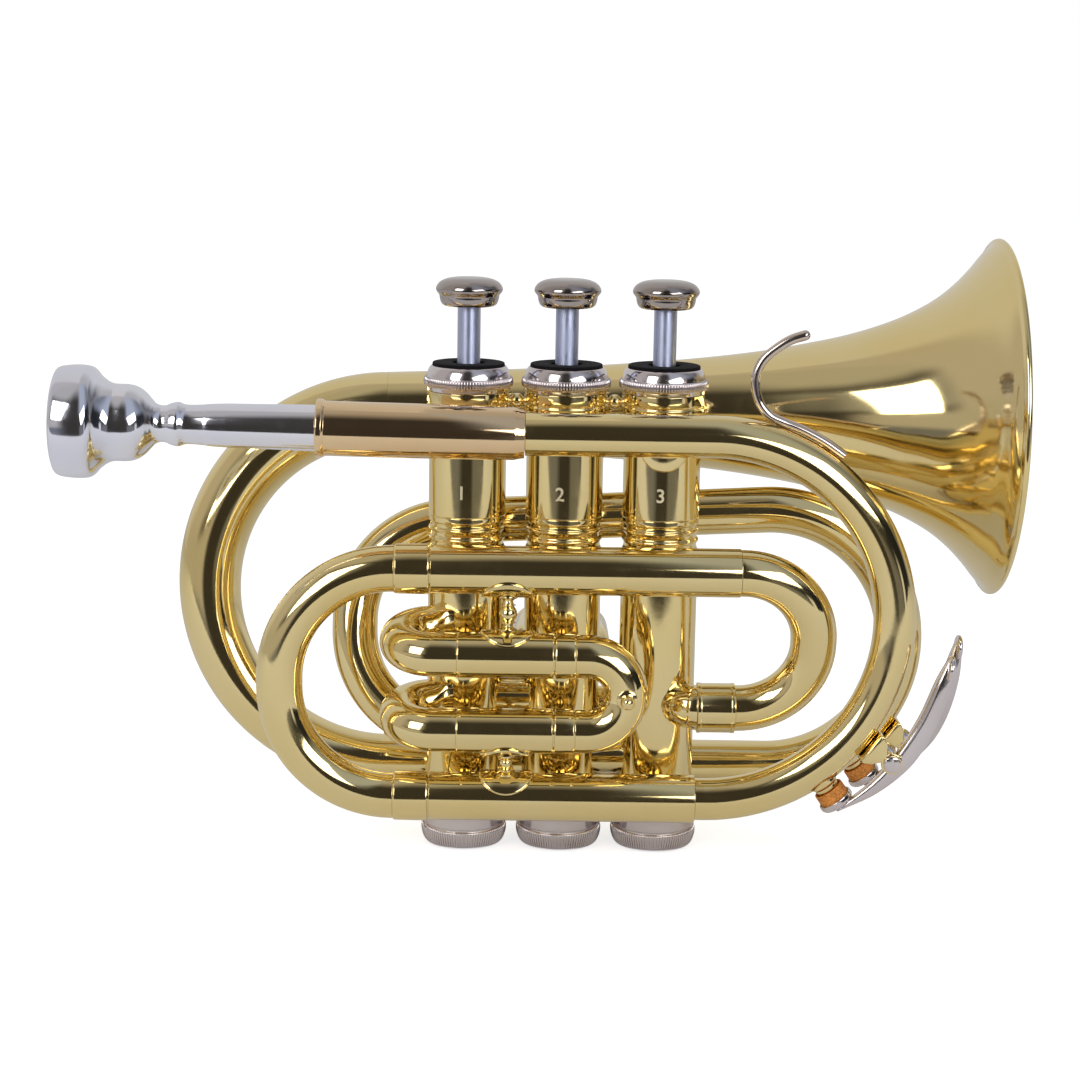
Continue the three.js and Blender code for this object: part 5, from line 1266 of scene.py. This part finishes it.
class TRUMPET_OT_stage(bpy.types.Operator):
    """Set the floor, the lamps, the surroundings and the camera"""

    bl_idname = "trumpet.stage"
    bl_label = "Studio"

    def execute(self, context):
        studio = context.scene.trumpet_studio
        self.floor(studio)
        self.surroundings(studio)
        self.lamp("lamp_left", (-0.757, -1.005, 0.694), (0.6, 0.8), 0, studio.lamp_power)
        self.lamp("lamp_right", (0.721, -1.11, 0.536), (0.95, 0.58), 20, studio.lamp_power)
        context.scene.view_settings.view_transform = "Standard"
        camera = bpy.data.cameras.new("photo_camera")
        camera.lens, camera.sensor_width, camera.sensor_fit = CAMERA_LENS, 36.0, "HORIZONTAL"
        camera.clip_start, camera.clip_end = 0.01, 20.0
        holder = linked("photo_camera", camera)
        turn = Matrix.Identity(3)
        for angle, axis in CAMERA_TURNS:
            turn = turn @ Matrix.Rotation(angle, 3, axis)
        right, forward, up = (turn.col[i] for i in range(3))
        holder.matrix_world = Matrix.Translation(CAMERA_PLACE) @ Matrix((right, up, -forward)).transposed().to_4x4()
        context.scene.camera = holder
        return {"FINISHED"}

    def floor(self, studio):
        """White paper that the camera sees as the background, and that still takes the trumpet's shadow."""
        made, graph = new_material("studio_floor")
        path = graph.add("ShaderNodeLightPath")
        camera_ray = graph.number(path, "Is Camera Ray")
        in_metal = graph.number(path, "Is Glossy Ray") + graph.number(path, "Is Transmission Ray")
        paper = graph.add("ShaderNodeBsdfDiffuse", None, {"Color": (0.8, 0.8, 0.8, 1)})
        glow = graph.add("ShaderNodeEmission", None, {
            "Color": (1, 1, 1, 1), "Strength": camera_ray * 0.72 + in_metal * 0.08,
        })
        both = graph.add("ShaderNodeAddShader", None, {0: paper.outputs[0], 1: glow.outputs[0]})
        graph.add("ShaderNodeOutputMaterial", None, {"Surface": both.outputs[0]})
        data = bpy.data.meshes.new("studio_floor")
        side, front, back = 2.5, -studio.floor_front, 3
        data.from_pydata([(-side, front, 0), (side, front, 0), (side, back, 0), (-side, back, 0)], [], [(0, 1, 2, 3)])
        floor = linked("studio_floor", data)
        data.materials.append(made)

    def surroundings(self, studio):
        """The room that the metal shows: its dark front, its pale walls and the streaks between them."""
        world = bpy.data.worlds.new("studio")
        bpy.context.scene.world = world
        world.use_nodes = True
        graph = Graph(world.node_tree)
        sky = graph.add("ShaderNodeTexCoord")
        split = graph.add("ShaderNodeSeparateXYZ", None, {0: sky.outputs["Generated"]})
        across, behind, up = (graph.number(split, axis) for axis in range(3))
        turn = graph.number(graph.add("ShaderNodeMath", {"operation": "ARCTAN2"}, {0: across, 1: 0 - behind}))
        rise = graph.number(graph.add("ShaderNodeMath", {"operation": "ARCSINE"}, {0: up}))

        def past(value, low, high):
            return graph.spread(value, math.radians(low), math.radians(high))

        left = 0 - turn
        low = 1 - past(rise, -6, 3)
        room = (studio.dark, studio.dark * 0.9, studio.dark * 0.8, 1)
        for share, tint in (
            (past(turn, 30, 48), (0.03, 0.032, 0.04)),
            (low * past(turn, 10, 20) * (1 - past(turn, 42, 50)), (0.27, 0.27, 0.28)),
            (low * past(left, 12, 30), (0.28, 0.29, 0.34)),
            (past(left, 10, 24) * past(rise, 8, 16) * (1 - past(rise, 36, 46)), (0.5, 0.5, 0.5)),
            (past(rise, 46, 82), (0.7, 0.67, 0.65)),
            (past(left, 6, 26) * past(rise, 40, 56), (0.72, 0.7, 0.67)),
            (past(turn, 6, 20) * past(rise, 16, 30) * (1 - past(turn, 44, 96) * 0.6), (0.66, 0.72, 0.84)),
            (past(left, 54, 72), (0.79, 0.75, 0.73)),
            (past(left, 98, 118), (1.0, 0.97, 0.94)),
            (past(turn, 88, 106), (0.74, 0.73, 0.72)),
            (past(turn, 88, 106) * (1 - past(turn, 126, 146)) * past(rise, 6, 12) * (1 - past(rise, 32, 46)),
             (0.2, 0.2, 0.22)),
            (past(left, 16, 28) * past(rise, -8, -3) * (1 - past(rise, 5, 12)), (0.74, 0.71, 0.68)),
            (past(turn, 48, 51) * (1 - past(turn, 58, 61)) * (1 - past(rise, -2, 6)), (1.1, 1.1, 1.15)),
            (graph.spread(behind, 0.2, 0.7), (1.0, 1.0, 1.0)),
        ):
            room = graph.blend(share, room, (*(studio.surround * channel for channel in tint), 1))
        path = graph.add("ShaderNodeLightPath")
        shown = graph.blend(graph.number(path, "Is Camera Ray"), room, (1, 1, 1, 1))
        walls = graph.add("ShaderNodeBackground", None, {"Color": shown, "Strength": 1.0})
        graph.add("ShaderNodeOutputWorld", None, {"Surface": walls.outputs[0]})

    def lamp(self, name, place, size, slant, power):
        """A soft box aimed at the middle of the trumpet, turned about its own line of sight."""
        light = bpy.data.lights.new(name, "AREA")
        light.shape, light.size, light.size_y, light.energy = "RECTANGLE", *size, power
        aim = (Vector((0, 0, 0.08)) - Vector(place)).to_track_quat("-Z", "Y").to_matrix()
        aim = aim @ Matrix.Rotation(math.radians(slant), 3, "Z")
        linked(name, light).matrix_world = Matrix.Translation(place) @ aim.to_4x4()


class TRUMPET_PT_panel(bpy.types.Panel):
    """Lists the trumpet's settings and the steps that build it"""

    bl_label = "Pocket trumpet"
    bl_idname = "TRUMPET_PT_panel"
    bl_space_type = "VIEW_3D"
    bl_region_type = "UI"
    bl_category = "Trumpet"

    def draw(self, context):
        for title in SETTINGS:
            group, box = getattr(context.scene, title), self.layout.box()
            for name in group.__annotations__:
                box.prop(group, name)
        for operator in OPERATORS:
            self.layout.operator(operator.bl_idname)


SETTINGS = {
    "trumpet_tubing": TubingSettings, "trumpet_valves": ValveSettings,
    "trumpet_finish": FinishSettings, "trumpet_studio": StudioSettings,
}
OPERATORS = (
    TRUMPET_OT_finishes, TRUMPET_OT_casings, TRUMPET_OT_caps, TRUMPET_OT_valve_tops, TRUMPET_OT_leadpipe,
    TRUMPET_OT_tuning_slide, TRUMPET_OT_valve_slides, TRUMPET_OT_branch, TRUMPET_OT_bell, TRUMPET_OT_braces,
    TRUMPET_OT_water_keys, TRUMPET_OT_stage,
)


def register():
    for group in (*SETTINGS.values(), *OPERATORS, TRUMPET_PT_panel):
        bpy.utils.register_class(group)
    for name, group in SETTINGS.items():
        setattr(bpy.types.Scene, name, bpy.props.PointerProperty(type=group))


def unregister():
    for name in SETTINGS:
        delattr(bpy.types.Scene, name)
    for group in reversed((*SETTINGS.values(), *OPERATORS, TRUMPET_PT_panel)):
        bpy.utils.unregister_class(group)


def main():
    register()
    for operator in OPERATORS:
        group, name = operator.bl_idname.split(".")
        getattr(getattr(bpy.ops, group), name)()


if __name__ == "__main__":
    main()
